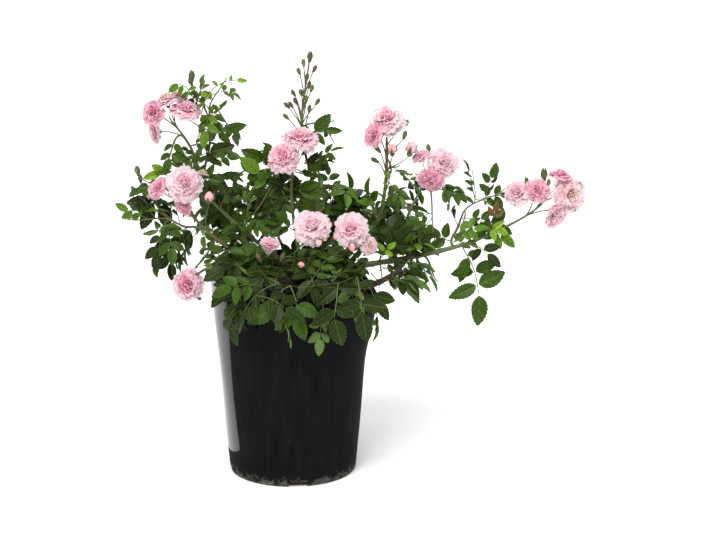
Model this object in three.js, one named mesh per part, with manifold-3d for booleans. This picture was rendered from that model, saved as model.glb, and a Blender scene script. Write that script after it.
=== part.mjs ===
// A cluster-flowered shrub rose in a black nursery pot, in millimetres, +Z up.
// The origin is the centre of the pot's flat underside, and the bush is seen from -Y.
// Stems and canes are tapering limbs; leaves and flowers are uneven closed masses round their tips.

import * as THREE from 'three';
import { mergeVertices } from 'three/addons/utils/BufferGeometryUtils.js';
import Module from 'manifold-3d';

const wasm = await Module();
wasm.setup();

// ---- driving dimensions ----

const pot = {
  height: 220,
  baseRadius: 67.5,
  topRadius: 86,
  wall: 2,
  floor: 3,
  footRound: 2.5,
  beadWidth: 4.5,
  beadHeight: 5,
  segments: 36,
};
// the soft rim has been pulled down on the +X side, and the potting mix bulges up to it there
const sag = { depth: 34, halfAngle: 68, startHeight: 110, flare: 3 };
const drain = { width: 20, height: 6, depth: 8, firstAngle: -84, count: 4 };
const mix = { clearance: 0.4, edgeHeight: 198, crownRise: 4, sagShare: 0.35, rings: 3 };
const crown = { at: [12, 0, 212], radius: 14, height: 22 };
const limb = { sides: 6, stepLength: 15 };
const gap = 0.45;
const facets = { leaf: [11, 7], flower: [9, 6] };
const lump = { waves: 5, height: 0.06, slowest: 1.8, fastest: 4.2 };

// ---- finishes ----

const finish = {
  pot: { color: 0x17181a, roughness: 0.38 },
  mix: { color: 0x2b1c14, roughness: 0.95 },
  wood: { color: 0x4f3b28, roughness: 0.85 },
  cane: { color: 0x55702f, roughness: 0.6 },
  leaf: { color: 0x3f6a1f, roughness: 0.5 },
  flower: { color: 0xf0a0c2, roughness: 0.6 },
};

function material(name) {
  return new THREE.MeshStandardMaterial({ ...finish[name], metalness: 0 });
}

// ---- solids ----

function toSolid(geometry) {
  const bare = geometry.clone();
  bare.deleteAttribute('normal');
  bare.deleteAttribute('uv');
  const merged = mergeVertices(bare, 1e-4);
  return new wasm.Manifold(new wasm.Mesh({
    numProp: 3,
    vertProperties: merged.attributes.position.array,
    triVerts: new Uint32Array(merged.index.array),
  }));
}

function toGeometry(solid) {
  const mesh = solid.getMesh();
  const geometry = new THREE.BufferGeometry();
  geometry.setAttribute('position', new THREE.BufferAttribute(mesh.vertProperties, mesh.numProp));
  geometry.setIndex(new THREE.BufferAttribute(mesh.triVerts, 1));
  return geometry;
}

function largestPiece(solid) {
  const pieces = solid.decompose();
  return pieces.reduce((best, piece) => (piece.volume() > best.volume() ? piece : best));
}

function seededRandom(seed) {
  let state = seed;
  return () => {
    state = (state * 16807) % 2147483647;
    return state / 2147483647;
  };
}

function smooth(t) {
  const s = Math.min(Math.max(t, 0), 1);
  return s * s * (3 - 2 * s);
}

// ---- pot and potting mix ----

// how far a point of the rim has dropped, by its angle round the pot
function rimDrop(x, y) {
  const fromRight = THREE.MathUtils.radToDeg(Math.abs(Math.atan2(y, x)));
  if (fromRight >= sag.halfAngle) {
    return 0;
  }
  return sag.depth * 0.5 * (1 + Math.cos(Math.PI * fromRight / sag.halfAngle));
}

function potRadius(z) {
  return THREE.MathUtils.lerp(pot.baseRadius, pot.topRadius, z / (pot.height - pot.beadHeight));
}

// turns a profile of [radius, height] pairs about +Z
function turned(profile) {
  const points = profile.map(([radius, height]) => new THREE.Vector2(radius, height));
  return new THREE.LatheGeometry(points, pot.segments).rotateX(Math.PI / 2);
}

function dropPoints(geometry, startHeight, topHeight, share) {
  const position = geometry.attributes.position;
  for (let i = 0; i < position.count; i += 1) {
    const [x, y, z] = [position.getX(i), position.getY(i), position.getZ(i)];
    const reach = smooth((z - startHeight) / (topHeight - startHeight));
    const drop = share * rimDrop(x, y) * reach;
    const outward = 1 + sag.flare / pot.topRadius * drop / sag.depth;
    position.setXYZ(i, x * outward, y * outward, z - drop);
  }
  return geometry;
}

function potShell() {
  const neck = pot.height - pot.beadHeight;
  const bead = pot.topRadius + pot.beadWidth;
  const wallHeights = [0.5, 0.68, 0.84].map((share) => share * neck);
  const profile = [
    [0, 0],
    [pot.baseRadius - pot.footRound, 0],
    [pot.baseRadius, pot.footRound],
    ...wallHeights.map((z) => [potRadius(z), z]),
    [pot.topRadius, neck],
    [bead - 1, neck],
    [bead, neck + 1.5],
    [bead, pot.height - 1.5],
    [bead - 1.5, pot.height],
    [pot.topRadius - pot.wall + 1, pot.height],
    [pot.topRadius - pot.wall, pot.height - 1],
    ...wallHeights.toReversed().map((z) => [potRadius(z) - pot.wall, z]),
    [potRadius(pot.floor) - pot.wall, pot.floor],
    [0, pot.floor],
  ];
  return dropPoints(turned(profile), sag.startHeight, pot.height, 1);
}

function drainNotch(index) {
  const angle = THREE.MathUtils.degToRad(drain.firstAngle + index * 360 / drain.count);
  const notch = new THREE.BoxGeometry(2 * drain.depth, drain.width, 2 * drain.height);
  return notch.translate(pot.baseRadius, 0, 0).rotateZ(angle);
}

function pottedShell() {
  let shell = toSolid(potShell());
  for (let i = 0; i < drain.count; i += 1) {
    shell = shell.subtract(toSolid(drainNotch(i)));
  }
  return shell;
}

function pottingMix() {
  const inside = (z) => potRadius(z) - pot.wall - mix.clearance;
  const bottom = pot.floor + mix.clearance;
  const edge = inside(mix.edgeHeight);
  const profile = [[0, bottom], [inside(bottom), bottom]];
  for (const share of [0.5, 0.75, 1]) {
    const z = share * mix.edgeHeight;
    profile.push([inside(z), z]);
  }
  for (let ring = mix.rings - 1; ring >= 0; ring -= 1) {
    const share = ring / mix.rings;
    profile.push([share * edge, mix.edgeHeight + mix.crownRise * (1 - share * share)]);
  }
  return dropPoints(turned(profile), sag.startHeight, mix.edgeHeight, mix.sagShare);
}

// ---- limbs ----

// a tapering limb round a smooth line through the waypoints, from share 0 to share `end` of it
function limbGeometry(route, footRadius, tipRadius, end = 1) {
  const length = route.getLength() * end;
  const steps = Math.max(2, Math.round(length / limb.stepLength));
  const geometry = new THREE.CylinderGeometry(1, 1, 1, limb.sides, steps);
  const frames = route.computeFrenetFrames(steps, false);
  const position = geometry.attributes.position;
  for (let i = 0; i < position.count; i += 1) {
    const share = position.getY(i) + 0.5;
    const step = Math.round(share * steps);
    const radius = THREE.MathUtils.lerp(footRadius, tipRadius, share);
    const point = route.getPointAt(share * end)
      .addScaledVector(frames.normals[step], -position.getX(i) * radius)
      .addScaledVector(frames.binormals[step], -position.getZ(i) * radius);
    position.setXYZ(i, point.x, point.y, point.z);
  }
  const volume = toSolid(geometry).volume();
  return volume > 0 ? geometry : flipped(geometry);
}

function flipped(geometry) {
  const index = geometry.index;
  for (let i = 0; i < index.count; i += 3) {
    const first = index.getX(i);
    index.setX(i, index.getX(i + 1));
    index.setX(i + 1, first);
  }
  return geometry;
}

function vector(point) {
  return new THREE.Vector3(...point);
}

const limbs = [];

// how far a limb's foot stands off its parent's centre line, so that the two just miss each other
function standOff(parent, share, direction, footRadius) {
  if (share === 1) {
    return gap;
  }
  const angle = direction.angleTo(parent.route.getTangentAt(share));
  const parentRadius = THREE.MathUtils.lerp(parent.footRadius, parent.tipRadius, share);
  return (parentRadius + 2 * gap + footRadius * Math.abs(Math.cos(angle))) / Math.sin(angle);
}

// `from` is the crown or an earlier limb; `share` is how far along that limb the foot stands
function addLimb(name, from, share, waypoints, footRadius, tipRadius, into) {
  const parent = limbs.find((other) => other.name === from);
  const start = parent ? parent.route.getPointAt(share) : vector(crown.at);
  const direction = vector(waypoints[0]).sub(start).normalize();
  const distance = parent ? standOff(parent, share, direction, footRadius) : crown.radius + gap;
  const foot = start.clone().addScaledVector(direction, distance);
  const route = new THREE.CatmullRomCurve3([foot, ...waypoints.map(vector)], false, 'centripetal');
  limbs.push({ name, route, footRadius, tipRadius, into });
}

// ---- masses of leaves and flowers ----

const masses = [];

function addMass(name, kind, centre, halfSize, lean = 0, turn = 0) {
  const random = seededRandom(101 + 37 * masses.length);
  const waves = Array.from({ length: lump.waves }, () => ({
    axis: new THREE.Vector3(random() - 0.5, random() - 0.5, random() - 0.5)
      .setLength(THREE.MathUtils.lerp(lump.slowest, lump.fastest, random())),
    phase: 2 * Math.PI * random(),
  }));
  const spin = new THREE.Matrix4().makeRotationFromEuler(new THREE.Euler(
    0, THREE.MathUtils.degToRad(-lean), THREE.MathUtils.degToRad(turn), 'ZYX'));
  const place = new THREE.Matrix4().makeTranslation(vector(centre)).multiply(spin);
  masses.push({ name, kind, waves, place, halfSize: vector(halfSize) });
}

function unevenness(mass, direction) {
  return mass.waves.reduce(
    (sum, wave) => sum + lump.height * Math.sin(direction.dot(wave.axis) + wave.phase), 1);
}

function massGeometry(mass, swell = 0) {
  const geometry = new THREE.SphereGeometry(1, ...facets[mass.kind]).rotateX(Math.PI / 2);
  const position = geometry.attributes.position;
  const direction = new THREE.Vector3();
  for (let i = 0; i < position.count; i += 1) {
    direction.fromBufferAttribute(position, i).normalize();
    const height = unevenness(mass, direction);
    const size = mass.halfSize.clone().multiplyScalar(height).addScalar(swell);
    position.setXYZ(i, direction.x * size.x, direction.y * size.y, direction.z * size.z);
  }
  return geometry.applyMatrix4(mass.place);
}

function insideMass(mass, point, margin) {
  const local = point.clone().applyMatrix4(mass.place.clone().invert());
  const size = mass.halfSize.clone().addScalar(margin);
  local.divide(size);
  return local.length() < unevenness(mass, local.clone().normalize());
}

// the share of a limb's line that lies outside the mass it ends in
function shareOutside(branch) {
  const mass = masses.find((other) => other.name === branch.into);
  const samples = 400;
  for (let i = 1; i <= samples; i += 1) {
    if (insideMass(mass, branch.route.getPointAt(i / samples), 1)) {
      return (i - 1) / samples;
    }
  }
  return 1;
}

// ---- the bush: limbs ----

addLimb('upper_left_cane', 'crown', 0,
  [[-35, 4, 246], [-70, 5, 278], [-94, 4, 306], [-100, 2, 340], [-118, 0, 372]], 2.8, 1.6, 'upper_left_flowers');
addLimb('top_left_cane', 'upper_left_cane', 0.66,
  [[-89, 6, 330], [-84, 6, 352], [-84, 3, 392]], 1.7, 1.1, 'top_left_leaves');
addLimb('left_cane', 'crown', 0,
  [[-38, -22, 228], [-72, -20, 252], [-98, -20, 276], [-116, -22, 300]], 2.8, 1.6, 'left_flowers');
addLimb('far_left_cane', 'left_cane', 0.72,
  [[-112, -14, 268], [-140, -9, 284]], 1.7, 1.2, 'left_leaves');
addLimb('low_left_cane', 'crown', 0,
  [[-12, -38, 228], [-52, -48, 234], [-88, -44, 229], [-108, -38, 212]], 2.6, 1.6, 'low_left_flower');
addLimb('centre_cane', 'crown', 0,
  [[6, 0, 250], [1, -3, 290], [2, -7, 340]], 2.6, 1.6, 'centre_flowers');
addLimb('spire_cane', 'crown', 0,
  [[26, 10, 250], [24, 14, 300], [14, 15, 345], [10, 15, 400]], 2.5, 1.4, 'bud_spire');
addLimb('right_centre_cane', 'crown', 0,
  [[44, 12, 231], [78, 10, 244], [93, 8, 276], [99, 7, 312], [100, 8, 365]], 3.2, 1.8, 'right_centre_flowers');
addLimb('right_arch_inner', 'crown', 0,
  [[50, -8, 219], [82, -9, 226], [114, -7, 231], [146, -5, 237], [170, -4, 243]], 4, 2.9, 'none');
addLimb('right_arch_outer', 'right_arch_inner', 1,
  [[182, -3, 246], [206, -2, 256], [230, -1, 267], [262, 0, 292]], 2.7, 1.6, 'far_right_flowers');
addLimb('right_cane', 'right_arch_inner', 0.53,
  [[117, 0, 250], [124, 5, 280], [137, 8, 304], [148, 8, 330]], 2.2, 1.5, 'right_flowers');
addLimb('right_upper_cane', 'right_arch_inner', 0.97,
  [[174, 1, 262], [184, 3, 290]], 1.8, 1.2, 'right_upper_leaves');
addLimb('front_left_cane', 'crown', 0,
  [[10, -32, 228], [-8, -42, 234], [-32, -48, 238]], 2.4, 1.6, 'front_left_leaves');
addLimb('front_right_cane', 'crown', 0,
  [[38, -26, 227], [46, -46, 234]], 2.4, 1.6, 'front_right_leaves');
addLimb('back_left_cane', 'crown', 0,
  [[-8, 34, 231], [-18, 58, 246], [-24, 82, 262]], 2.6, 1.6, 'back_centre_leaves');
addLimb('back_right_cane', 'crown', 0,
  [[30, 34, 228], [42, 62, 236], [46, 82, 240]], 2.6, 1.6, 'back_right_leaves');

// ---- the bush: masses ----

addMass('top_left_leaves', 'leaf', [-88, 0, 406], [35, 13, 17], 14);
addMass('upper_left_leaves', 'leaf', [-74, 5, 358], [25, 16, 26], 20);
addMass('left_shoulder_leaves', 'leaf', [-110, 5, 330], [26, 18, 15], 10);
addMass('left_leaves', 'leaf', [-146, -8, 286], [28, 18, 22], 12);
addMass('left_low_leaves', 'leaf', [-120, -12, 246], [27, 20, 19], 24);
addMass('left_inner_leaves', 'leaf', [-70, 12, 300], [25, 22, 22]);
addMass('left_middle_leaves', 'leaf', [-70, -6, 241], [30, 26, 19], 8);
addMass('centre_left_leaves', 'leaf', [-24, 8, 278], [32, 24, 24], -10);
addMass('centre_shoulder_leaves', 'leaf', [-34, 10, 327], [19, 14, 19], 20);
addMass('centre_top_leaves', 'leaf', [34, 10, 346], [16, 13, 32], -8);
addMass('centre_back_leaves', 'leaf', [52, 48, 285], [53, 20, 14]);
addMass('front_left_leaves', 'leaf', [-34, -56, 240], [34, 24, 18], 8);
addMass('front_right_leaves', 'leaf', [44, -58, 238], [40, 24, 17], -6);
addMass('front_left_skirt', 'leaf', [-50, -92, 211], [30, 11, 33], 0, -29);
addMass('front_middle_skirt', 'leaf', [14, -106, 196], [28, 11, 27], 0, 8);
addMass('front_right_skirt', 'leaf', [68, -84, 197], [28, 11, 32], 0, 39);
addMass('right_inner_leaves', 'leaf', [118, -3, 256], [42, 22, 22], -8);
addMass('right_centre_leaves', 'leaf', [113, 12, 306], [32, 20, 25], 8);
addMass('right_low_leaves', 'leaf', [124, -20, 212], [30, 18, 17], -14);
addMass('right_upper_leaves', 'leaf', [190, 5, 303], [37, 16, 22], -8);
addMass('right_outer_leaves', 'leaf', [204, -2, 256], [31, 15, 17], 14);
addMass('right_hanging_leaves', 'leaf', [194, -12, 197], [29, 9, 37], -10);
addMass('back_left_leaves', 'leaf', [-78, 58, 264], [32, 26, 36], -12);
addMass('back_centre_leaves', 'leaf', [-26, 82, 274], [32, 28, 42]);
addMass('back_right_leaves', 'leaf', [46, 80, 256], [36, 28, 37], 8);
addMass('back_corner_leaves', 'leaf', [110, 58, 256], [32, 26, 34], 14);
addMass('back_left_skirt', 'leaf', [-46, 100, 204], [29, 11, 32], 0, 24);
addMass('back_right_skirt', 'leaf', [34, 107, 202], [29, 11, 30], 0, -18);

addMass('upper_left_flowers', 'flower', [-124, 0, 381], [29, 18, 25], 30);
addMass('left_flowers', 'flower', [-117, -24, 303], [33, 17, 20], 18);
addMass('low_left_flower', 'flower', [-110, -38, 207], [19, 16, 18]);
addMass('centre_flowers', 'flower', [3, -10, 345], [29, 17, 21], 28);
addMass('bud_spire', 'flower', [15, 15, 409], [14, 11, 43], -12);
addMass('front_left_flower', 'flower', [25, -66, 276], [19, 17, 15]);
addMass('front_right_flowers', 'flower', [70, -66, 268], [23, 17, 18], -20);
addMass('right_centre_flowers', 'flower', [99, 8, 369], [26, 18, 22], -16);
addMass('right_flowers', 'flower', [149, 8, 328], [28, 18, 21], -34);
addMass('far_right_flowers', 'flower', [267, 0, 297], [46, 15, 31], -4);
addMass('back_flowers', 'flower', [76, 116, 240], [26, 14, 14], 12);

// ---- the assembly ----

const bush = new THREE.Group();

function addPart(name, geometry, finishName) {
  const part = new THREE.Mesh(geometry, material(finishName));
  part.name = name;
  bush.add(part);
}

const shell = pottedShell();
addPart('pot', toGeometry(shell), 'pot');
addPart('potting_mix', pottingMix(), 'mix');

// the knuckle that every cane springs from, standing on a short flared stem with a flat cut
const stemFoot = mix.edgeHeight + mix.crownRise + gap;
const knuckle = new THREE.SphereGeometry(crown.radius, 12, 8)
  .rotateX(Math.PI / 2)
  .translate(...crown.at);
const flare = new THREE.CylinderGeometry(crown.radius - 2, crown.radius + 2, crown.height / 2, 12)
  .rotateX(Math.PI / 2)
  .translate(crown.at[0], crown.at[1], stemFoot + crown.height / 4);
const underMix = new THREE.BoxGeometry(80, 80, 40)
  .translate(crown.at[0], crown.at[1], stemFoot - 20);
const stemBase = toSolid(knuckle).add(toSolid(flare)).subtract(toSolid(underMix));
addPart('stem_base', toGeometry(stemBase), 'wood');

const oldStub = new THREE.CatmullRomCurve3(
  [[64, -26, 202], [82, -27, 207], [100, -25, 215], [115, -23, 224]].map(vector));
const stub = { name: 'old_stub', route: oldStub, footRadius: 4.2, tipRadius: 3.2, into: 'none' };

const inTheWay = [toSolid(limbGeometry(oldStub, stub.footRadius + gap, stub.tipRadius + gap))];
addPart(stub.name, limbGeometry(oldStub, stub.footRadius, stub.tipRadius), 'wood');
for (const branch of limbs) {
  const end = branch.into === 'none' ? 1 : shareOutside(branch);
  const { route, footRadius, tipRadius } = branch;
  addPart(branch.name, limbGeometry(route, footRadius, tipRadius, end), 'cane');
  inTheWay.push(toSolid(limbGeometry(route, footRadius + gap, tipRadius + gap, end)));
}

// each mass is cut round the limbs and round the masses placed before it, flowers first
const inOrder = [
  ...masses.filter((mass) => mass.kind === 'flower'),
  ...masses.filter((mass) => mass.kind === 'leaf'),
];
inTheWay.push(shell);
for (const mass of inOrder) {
  let solid = toSolid(massGeometry(mass));
  for (const other of inTheWay) {
    solid = solid.subtract(other);
  }
  addPart(mass.name, toGeometry(largestPiece(solid)), mass.kind);
  inTheWay.push(toSolid(massGeometry(mass, gap)));
}

export default bush;
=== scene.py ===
# A cluster-flowered shrub rose, grown for sale in a soft black nursery pot. Arching green canes carry
# compound leaves and trusses of small double pink blooms. The bush stands in damp potting mix, and the pot
# stands loose on its flat foot.
import math
import random

import bmesh
import bpy
import numpy as np
from mathutils import Matrix, Vector
from mathutils.bvhtree import BVHTree


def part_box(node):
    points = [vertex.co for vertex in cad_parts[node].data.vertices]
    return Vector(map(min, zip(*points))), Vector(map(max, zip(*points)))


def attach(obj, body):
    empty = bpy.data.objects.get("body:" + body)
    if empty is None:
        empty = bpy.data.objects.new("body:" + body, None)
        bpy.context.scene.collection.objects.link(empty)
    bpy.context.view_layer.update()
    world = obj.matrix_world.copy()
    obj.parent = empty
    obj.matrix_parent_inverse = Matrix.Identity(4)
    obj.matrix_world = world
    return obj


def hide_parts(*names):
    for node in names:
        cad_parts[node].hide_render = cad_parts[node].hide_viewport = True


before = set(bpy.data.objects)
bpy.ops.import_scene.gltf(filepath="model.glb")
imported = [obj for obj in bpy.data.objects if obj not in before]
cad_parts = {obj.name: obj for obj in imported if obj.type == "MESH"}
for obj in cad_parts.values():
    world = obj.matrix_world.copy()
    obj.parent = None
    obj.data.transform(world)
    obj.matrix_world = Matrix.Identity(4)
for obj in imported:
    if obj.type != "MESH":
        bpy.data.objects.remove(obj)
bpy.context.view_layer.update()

scene = bpy.context.scene
MM = 0.001


# ---- Floor, studio light and camera ----
# A pale floor in an even white surround, under one broad soft sun from high in front. A bright card lies on
# the floor at the left rear for the pot's side to mirror. The camera looks slightly down at the bush.

def srgb(code):
    """An sRGB hex colour as the linear colour that shaders take."""
    parts = [int(code[i:i + 2], 16) / 255 for i in (1, 3, 5)]
    return tuple(p / 12.92 if p <= 0.04045 else ((p + 0.055) / 1.055) ** 2.4 for p in parts) + (1.0,)


def add_node(tree, kind, inputs=(), stops=(), **settings):
    """Adds a node with its properties and colour stops, and fills its inputs from values or sockets."""
    node = tree.nodes.new(kind)
    for name, value in settings.items():
        setattr(node, name, value)
    while stops and len(node.color_ramp.elements) < len(stops):
        node.color_ramp.elements.new(1.0)
    for element, (position, colour) in zip(node.color_ramp.elements if stops else (), stops):
        element.position = position
        element.color = colour if isinstance(colour, tuple) else (colour, colour, colour, 1.0)
    for key, value in dict(inputs).items():
        if isinstance(value, bpy.types.NodeSocket):
            tree.links.new(value, node.inputs[key])
        else:
            node.inputs[key].default_value = value
    return node


def new_material(name, **surface):
    """A material with those constant shader inputs, then its node tree, shader and object coordinates."""
    material = bpy.data.materials.new(name)
    material.use_nodes = True
    tree = material.node_tree
    tree.nodes.clear()
    shader = add_node(tree, "ShaderNodeBsdfPrincipled",
                      {key.replace("_", " "): value for key, value in surface.items()})
    add_node(tree, "ShaderNodeOutputMaterial", {"Surface": shader.outputs["BSDF"]})
    place = add_node(tree, "ShaderNodeTexCoord")
    return material, tree, shader, place.outputs["Object"]


def mottled(name, patch, *stops, **surface):
    """A material whose colour drifts in soft patches of that size, between (position, sRGB hex) stops."""
    material, tree, shader, place = new_material(name, **surface)
    drift = add_node(tree, "ShaderNodeTexNoise",
                     {"Vector": place, "Scale": 1 / patch, "Detail": 3.0, "Roughness": 0.55})
    colour = add_node(tree, "ShaderNodeValToRGB", {"Fac": drift.outputs["Fac"]},
                      stops=[(at, srgb(code)) for at, code in stops])
    tree.links.new(colour.outputs["Color"], shader.inputs["Base Color"])
    return material


# painted board, rolled: even and matt, with the faintest mottling
floor_paint = mottled("painted_board_rolled_white", 0.4, (0.3, "#f4f4f3"), (0.7, "#f8f8f7"), Roughness=0.9)

floor_size = 24.0
floor_mesh = bpy.data.meshes.new("floor")
floor_mesh.from_pydata([(x * floor_size / 2, y * floor_size / 2, 0) for x, y in
                        ((-1, -1), (1, -1), (1, 1), (-1, 1))], [], [(0, 1, 2, 3)])
floor_mesh.materials.append(floor_paint)
floor = bpy.data.objects.new("floor", floor_mesh)
scene.collection.objects.link(floor)


def lamp(name, kind, power, at, aim, **settings):
    """A lamp at a point, turned to face another, with its own settings in metres and radians."""
    light = bpy.data.lights.new(name, kind)
    light.energy = power
    for setting, value in settings.items():
        setattr(light, setting, value)
    holder = bpy.data.objects.new(name, light)
    holder.location = at
    holder.rotation_euler = (Vector(aim) - Vector(at)).to_track_quat("-Z", "Y").to_euler()
    scene.collection.objects.link(holder)
    return holder


sun_strength, sun_softness = 2.65, math.radians(32)
lamp("high_key", "SUN", sun_strength, (-0.55, -1.75, 2.4), (0, 0, 0.2), angle=sun_softness)

# the card faces up, and the pot's side mirrors its straight front edge as a crisp strip
card_watts, card_length, card_width, card_heading = 66, 1.4, 1.0, math.radians(160)
floor_card = lamp("left_rear_card", "AREA", card_watts, (-0.600, 0.686, 0.004), (0, 0, 1),
                  shape="RECTANGLE", size=card_length, size_y=card_width)
floor_card.rotation_euler = (math.pi, 0, card_heading)
floor_card.visible_camera = False

studio = bpy.data.worlds.new("white_studio")
studio.use_nodes = True
studio.node_tree.nodes["Background"].inputs["Color"].default_value = srgb("#ffffff")
studio.node_tree.nodes["Background"].inputs["Strength"].default_value = 1.0
scene.world = studio
scene.view_settings.view_transform = "Standard"

camera_data = bpy.data.cameras.new("camera")
camera_data.lens = 97.6
camera_data.sensor_width = 36.0
camera = bpy.data.objects.new("camera", camera_data)
camera_dip = math.radians(13.85)
camera.location = (0.070, -1.985, 0.707)
camera.rotation_euler = (math.radians(90) - camera_dip, 0, 0)
scene.collection.objects.link(camera)
scene.camera = camera


# ---- Nursery pot ----
# A four-litre rose pot, blow-moulded in thin black recycled polythene, with a rolled rim that has been
# pulled down on one side, and four drainage notches round its foot. It stands loose on its flat base.

def mesh_object(name, points, faces, materials=(), kinds=None, smooth=True):
    """A mesh piece at the origin, with one material index for each face where kinds is given."""
    mesh = bpy.data.meshes.new(name)
    mesh.from_pydata([tuple(p) for p in points], [], faces)
    for material in materials:
        mesh.materials.append(material)
    if kinds is not None:
        mesh.polygons.foreach_set("material_index", kinds)
    mesh.polygons.foreach_set("use_smooth", [smooth] * len(mesh.polygons))
    mesh.update()
    piece = bpy.data.objects.new(name, mesh)
    scene.collection.objects.link(piece)
    return piece


def finished(piece, slot, *nodes):
    """Puts a piece on the plant's one body and hides the solids that it stands for; its finish slot is not
    used.
    """
    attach(piece, "root")
    if nodes:
        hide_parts(*nodes)
    return piece


def smooth_step(t):
    s = min(max(t, 0.0), 1.0)
    return s * s * (3 - 2 * s)


pot_low, pot_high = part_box("pot")
pot_height = pot_high.z
foot_radius = 67.5 * MM
bead_radius = -pot_low.x
bead_width, bead_height = 4.5 * MM, 5 * MM
pot_wall = 1.3 * MM
neck_radius = bead_radius - bead_width
neck_height = pot_height - bead_height
sag_depth, sag_flare, sag_half_angle, sag_start = 34 * MM, 3 * MM, math.radians(68), 0.110
pot_segments = 144


def pot_radius(z):
    return foot_radius + (neck_radius - foot_radius) * z / neck_height


def pot_profile():
    """The wall's outline from the middle of the underside, out, up, over the rolled rim and down inside."""
    outer = [(0.0, 0.0), (foot_radius * 0.5, 0.0), (foot_radius - 4 * MM, 0.0)]
    outer += [(foot_radius - 2.5 * MM * (1 - math.sin(a)), 2.5 * MM * (1 - math.cos(a)))
              for a in (math.radians(d) for d in (20, 45, 70, 90))]
    outer += [(pot_radius(z), z) for z in np.linspace(8 * MM, neck_height - 3 * MM, 34)]
    outer.append((neck_radius + 0.4 * MM, neck_height - 0.6 * MM))
    middle = neck_height + bead_height / 2
    reach = bead_width - 0.5 * MM
    bead = [(neck_radius + 0.5 * MM + reach * math.cos(a), middle + bead_height / 2 * math.sin(a))
            for a in np.linspace(-1.35, 1.35, 9)]
    inner = [(neck_radius - pot_wall + 0.6 * MM, pot_height - 0.15 * MM),
             (neck_radius - pot_wall, pot_height - 1.2 * MM)]
    inner += [(pot_radius(z) - pot_wall, z) for z in np.linspace(neck_height - 2 * MM, 3 * MM, 20)]
    return outer + bead + inner + [(foot_radius * 0.5, 1.6 * MM), (0.0, 1.6 * MM)]


def pulled_out_of_true(x, y, z):
    """The soft rim dragged down towards +X, and slow waves left in the thin wall by the mould."""
    angle = math.atan2(y, x)
    share = abs(angle) / sag_half_angle
    drop = 0.0 if share >= 1 else 0.5 * (1 + math.cos(math.pi * share))
    drop *= smooth_step((z - sag_start) / (pot_height - sag_start))
    height = smooth_step(z / (0.25 * pot_height))
    wave = 0.35 * MM * height * math.sin(3 * angle + 9 * z / pot_height) * math.sin(5 * angle + 1.3)
    reach = math.hypot(x, y)
    out = 1 + (sag_flare * drop + wave) / reach if reach > 20 * MM else 1
    return x * out, y * out, z - sag_depth * drop


def turned(profile, segments):
    """Points and faces of a profile turned about +Z, with one point at each end on the axis."""
    body = profile[1:-1]
    points = [(0.0, 0.0, profile[0][1])]
    for radius, z in body:
        points += [(radius * math.cos(a), radius * math.sin(a), z)
                   for a in np.linspace(0, 2 * math.pi, segments, endpoint=False)]
    points.append((0.0, 0.0, profile[-1][1]))
    last = len(points) - 1
    faces = []
    for j in range(segments):
        k = (j + 1) % segments
        faces.append((0, 1 + k, 1 + j))
        for ring in range(len(body) - 1):
            low, high = 1 + ring * segments, 1 + (ring + 1) * segments
            faces.append((low + j, low + k, high + k, high + j))
        end = 1 + (len(body) - 1) * segments
        faces.append((end + j, end + k, last))
    return points, faces


# low-density polythene, blow-moulded: deep black with a waxy sheen, fine flow streaks, and dust and
# pale rubbed patches where the foot drags over the ground
pot_plastic, tree, shader, place = new_material(
    "polythene_blow_moulded_black", IOR=1.5, Specular_IOR_Level=0.0, Coat_Weight=0.09, Coat_Roughness=0.08)
streaks = add_node(tree, "ShaderNodeMapping", {"Vector": place, "Scale": (1.0, 1.0, 0.06)})
streak = add_node(tree, "ShaderNodeTexNoise", {"Vector": streaks.outputs["Vector"], "Scale": 1 / (5 * MM),
                                               "Detail": 4.0, "Roughness": 0.55}).outputs["Fac"]
height = add_node(tree, "ShaderNodeSeparateXYZ", {"Vector": place}).outputs["Z"]
near_foot = add_node(tree, "ShaderNodeMapRange",
                     {"Value": height, "From Min": 0.0, "From Max": 30 * MM, "To Min": 1.0, "To Max": 0.0})
patches = add_node(tree, "ShaderNodeTexNoise",
                   {"Vector": place, "Scale": 1 / (7 * MM), "Detail": 6.0, "Roughness": 0.7})
dust = add_node(tree, "ShaderNodeMath", {0: near_foot.outputs["Result"], 1: patches.outputs["Fac"]},
                operation="MULTIPLY")
dusty = add_node(tree, "ShaderNodeValToRGB", {"Fac": dust.outputs[0]}, stops=[(0.36, 0.0), (0.62, 0.7)])
scuffs = add_node(tree, "ShaderNodeTexNoise",
                  {"Vector": place, "Scale": 1 / (11 * MM), "Detail": 9.0, "Roughness": 0.75})
scuffed = add_node(tree, "ShaderNodeValToRGB", {"Fac": scuffs.outputs["Fac"]},
                   stops=[(0.66, 0.0), (0.72, 0.22)])
worn = add_node(tree, "ShaderNodeMath", {0: dusty.outputs["Color"], 1: scuffed.outputs["Color"]},
                operation="MAXIMUM")
black = add_node(tree, "ShaderNodeValToRGB", {"Fac": streak},
                 stops=[(0.3, srgb("#08080a")), (0.75, srgb("#101113"))])
finish = add_node(tree, "ShaderNodeMix",
                  {"Factor": worn.outputs[0], 6: black.outputs["Color"], 7: srgb("#77746c")},
                  data_type="RGBA")
satin = add_node(tree, "ShaderNodeValToRGB", {"Fac": streak}, stops=[(0.25, 0.24), (0.8, 0.34)])
flow_lines = add_node(tree, "ShaderNodeBump", {"Height": streak, "Distance": 0.12 * MM, "Strength": 0.5})
tree.links.new(finish.outputs[2], shader.inputs["Base Color"])
tree.links.new(satin.outputs["Color"], shader.inputs["Roughness"])
tree.links.new(flow_lines.outputs["Normal"], shader.inputs["Normal"])

points, faces = turned(pot_profile(), pot_segments)
pot = mesh_object("nursery_pot", [pulled_out_of_true(*p) for p in points], faces, [pot_plastic])

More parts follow.
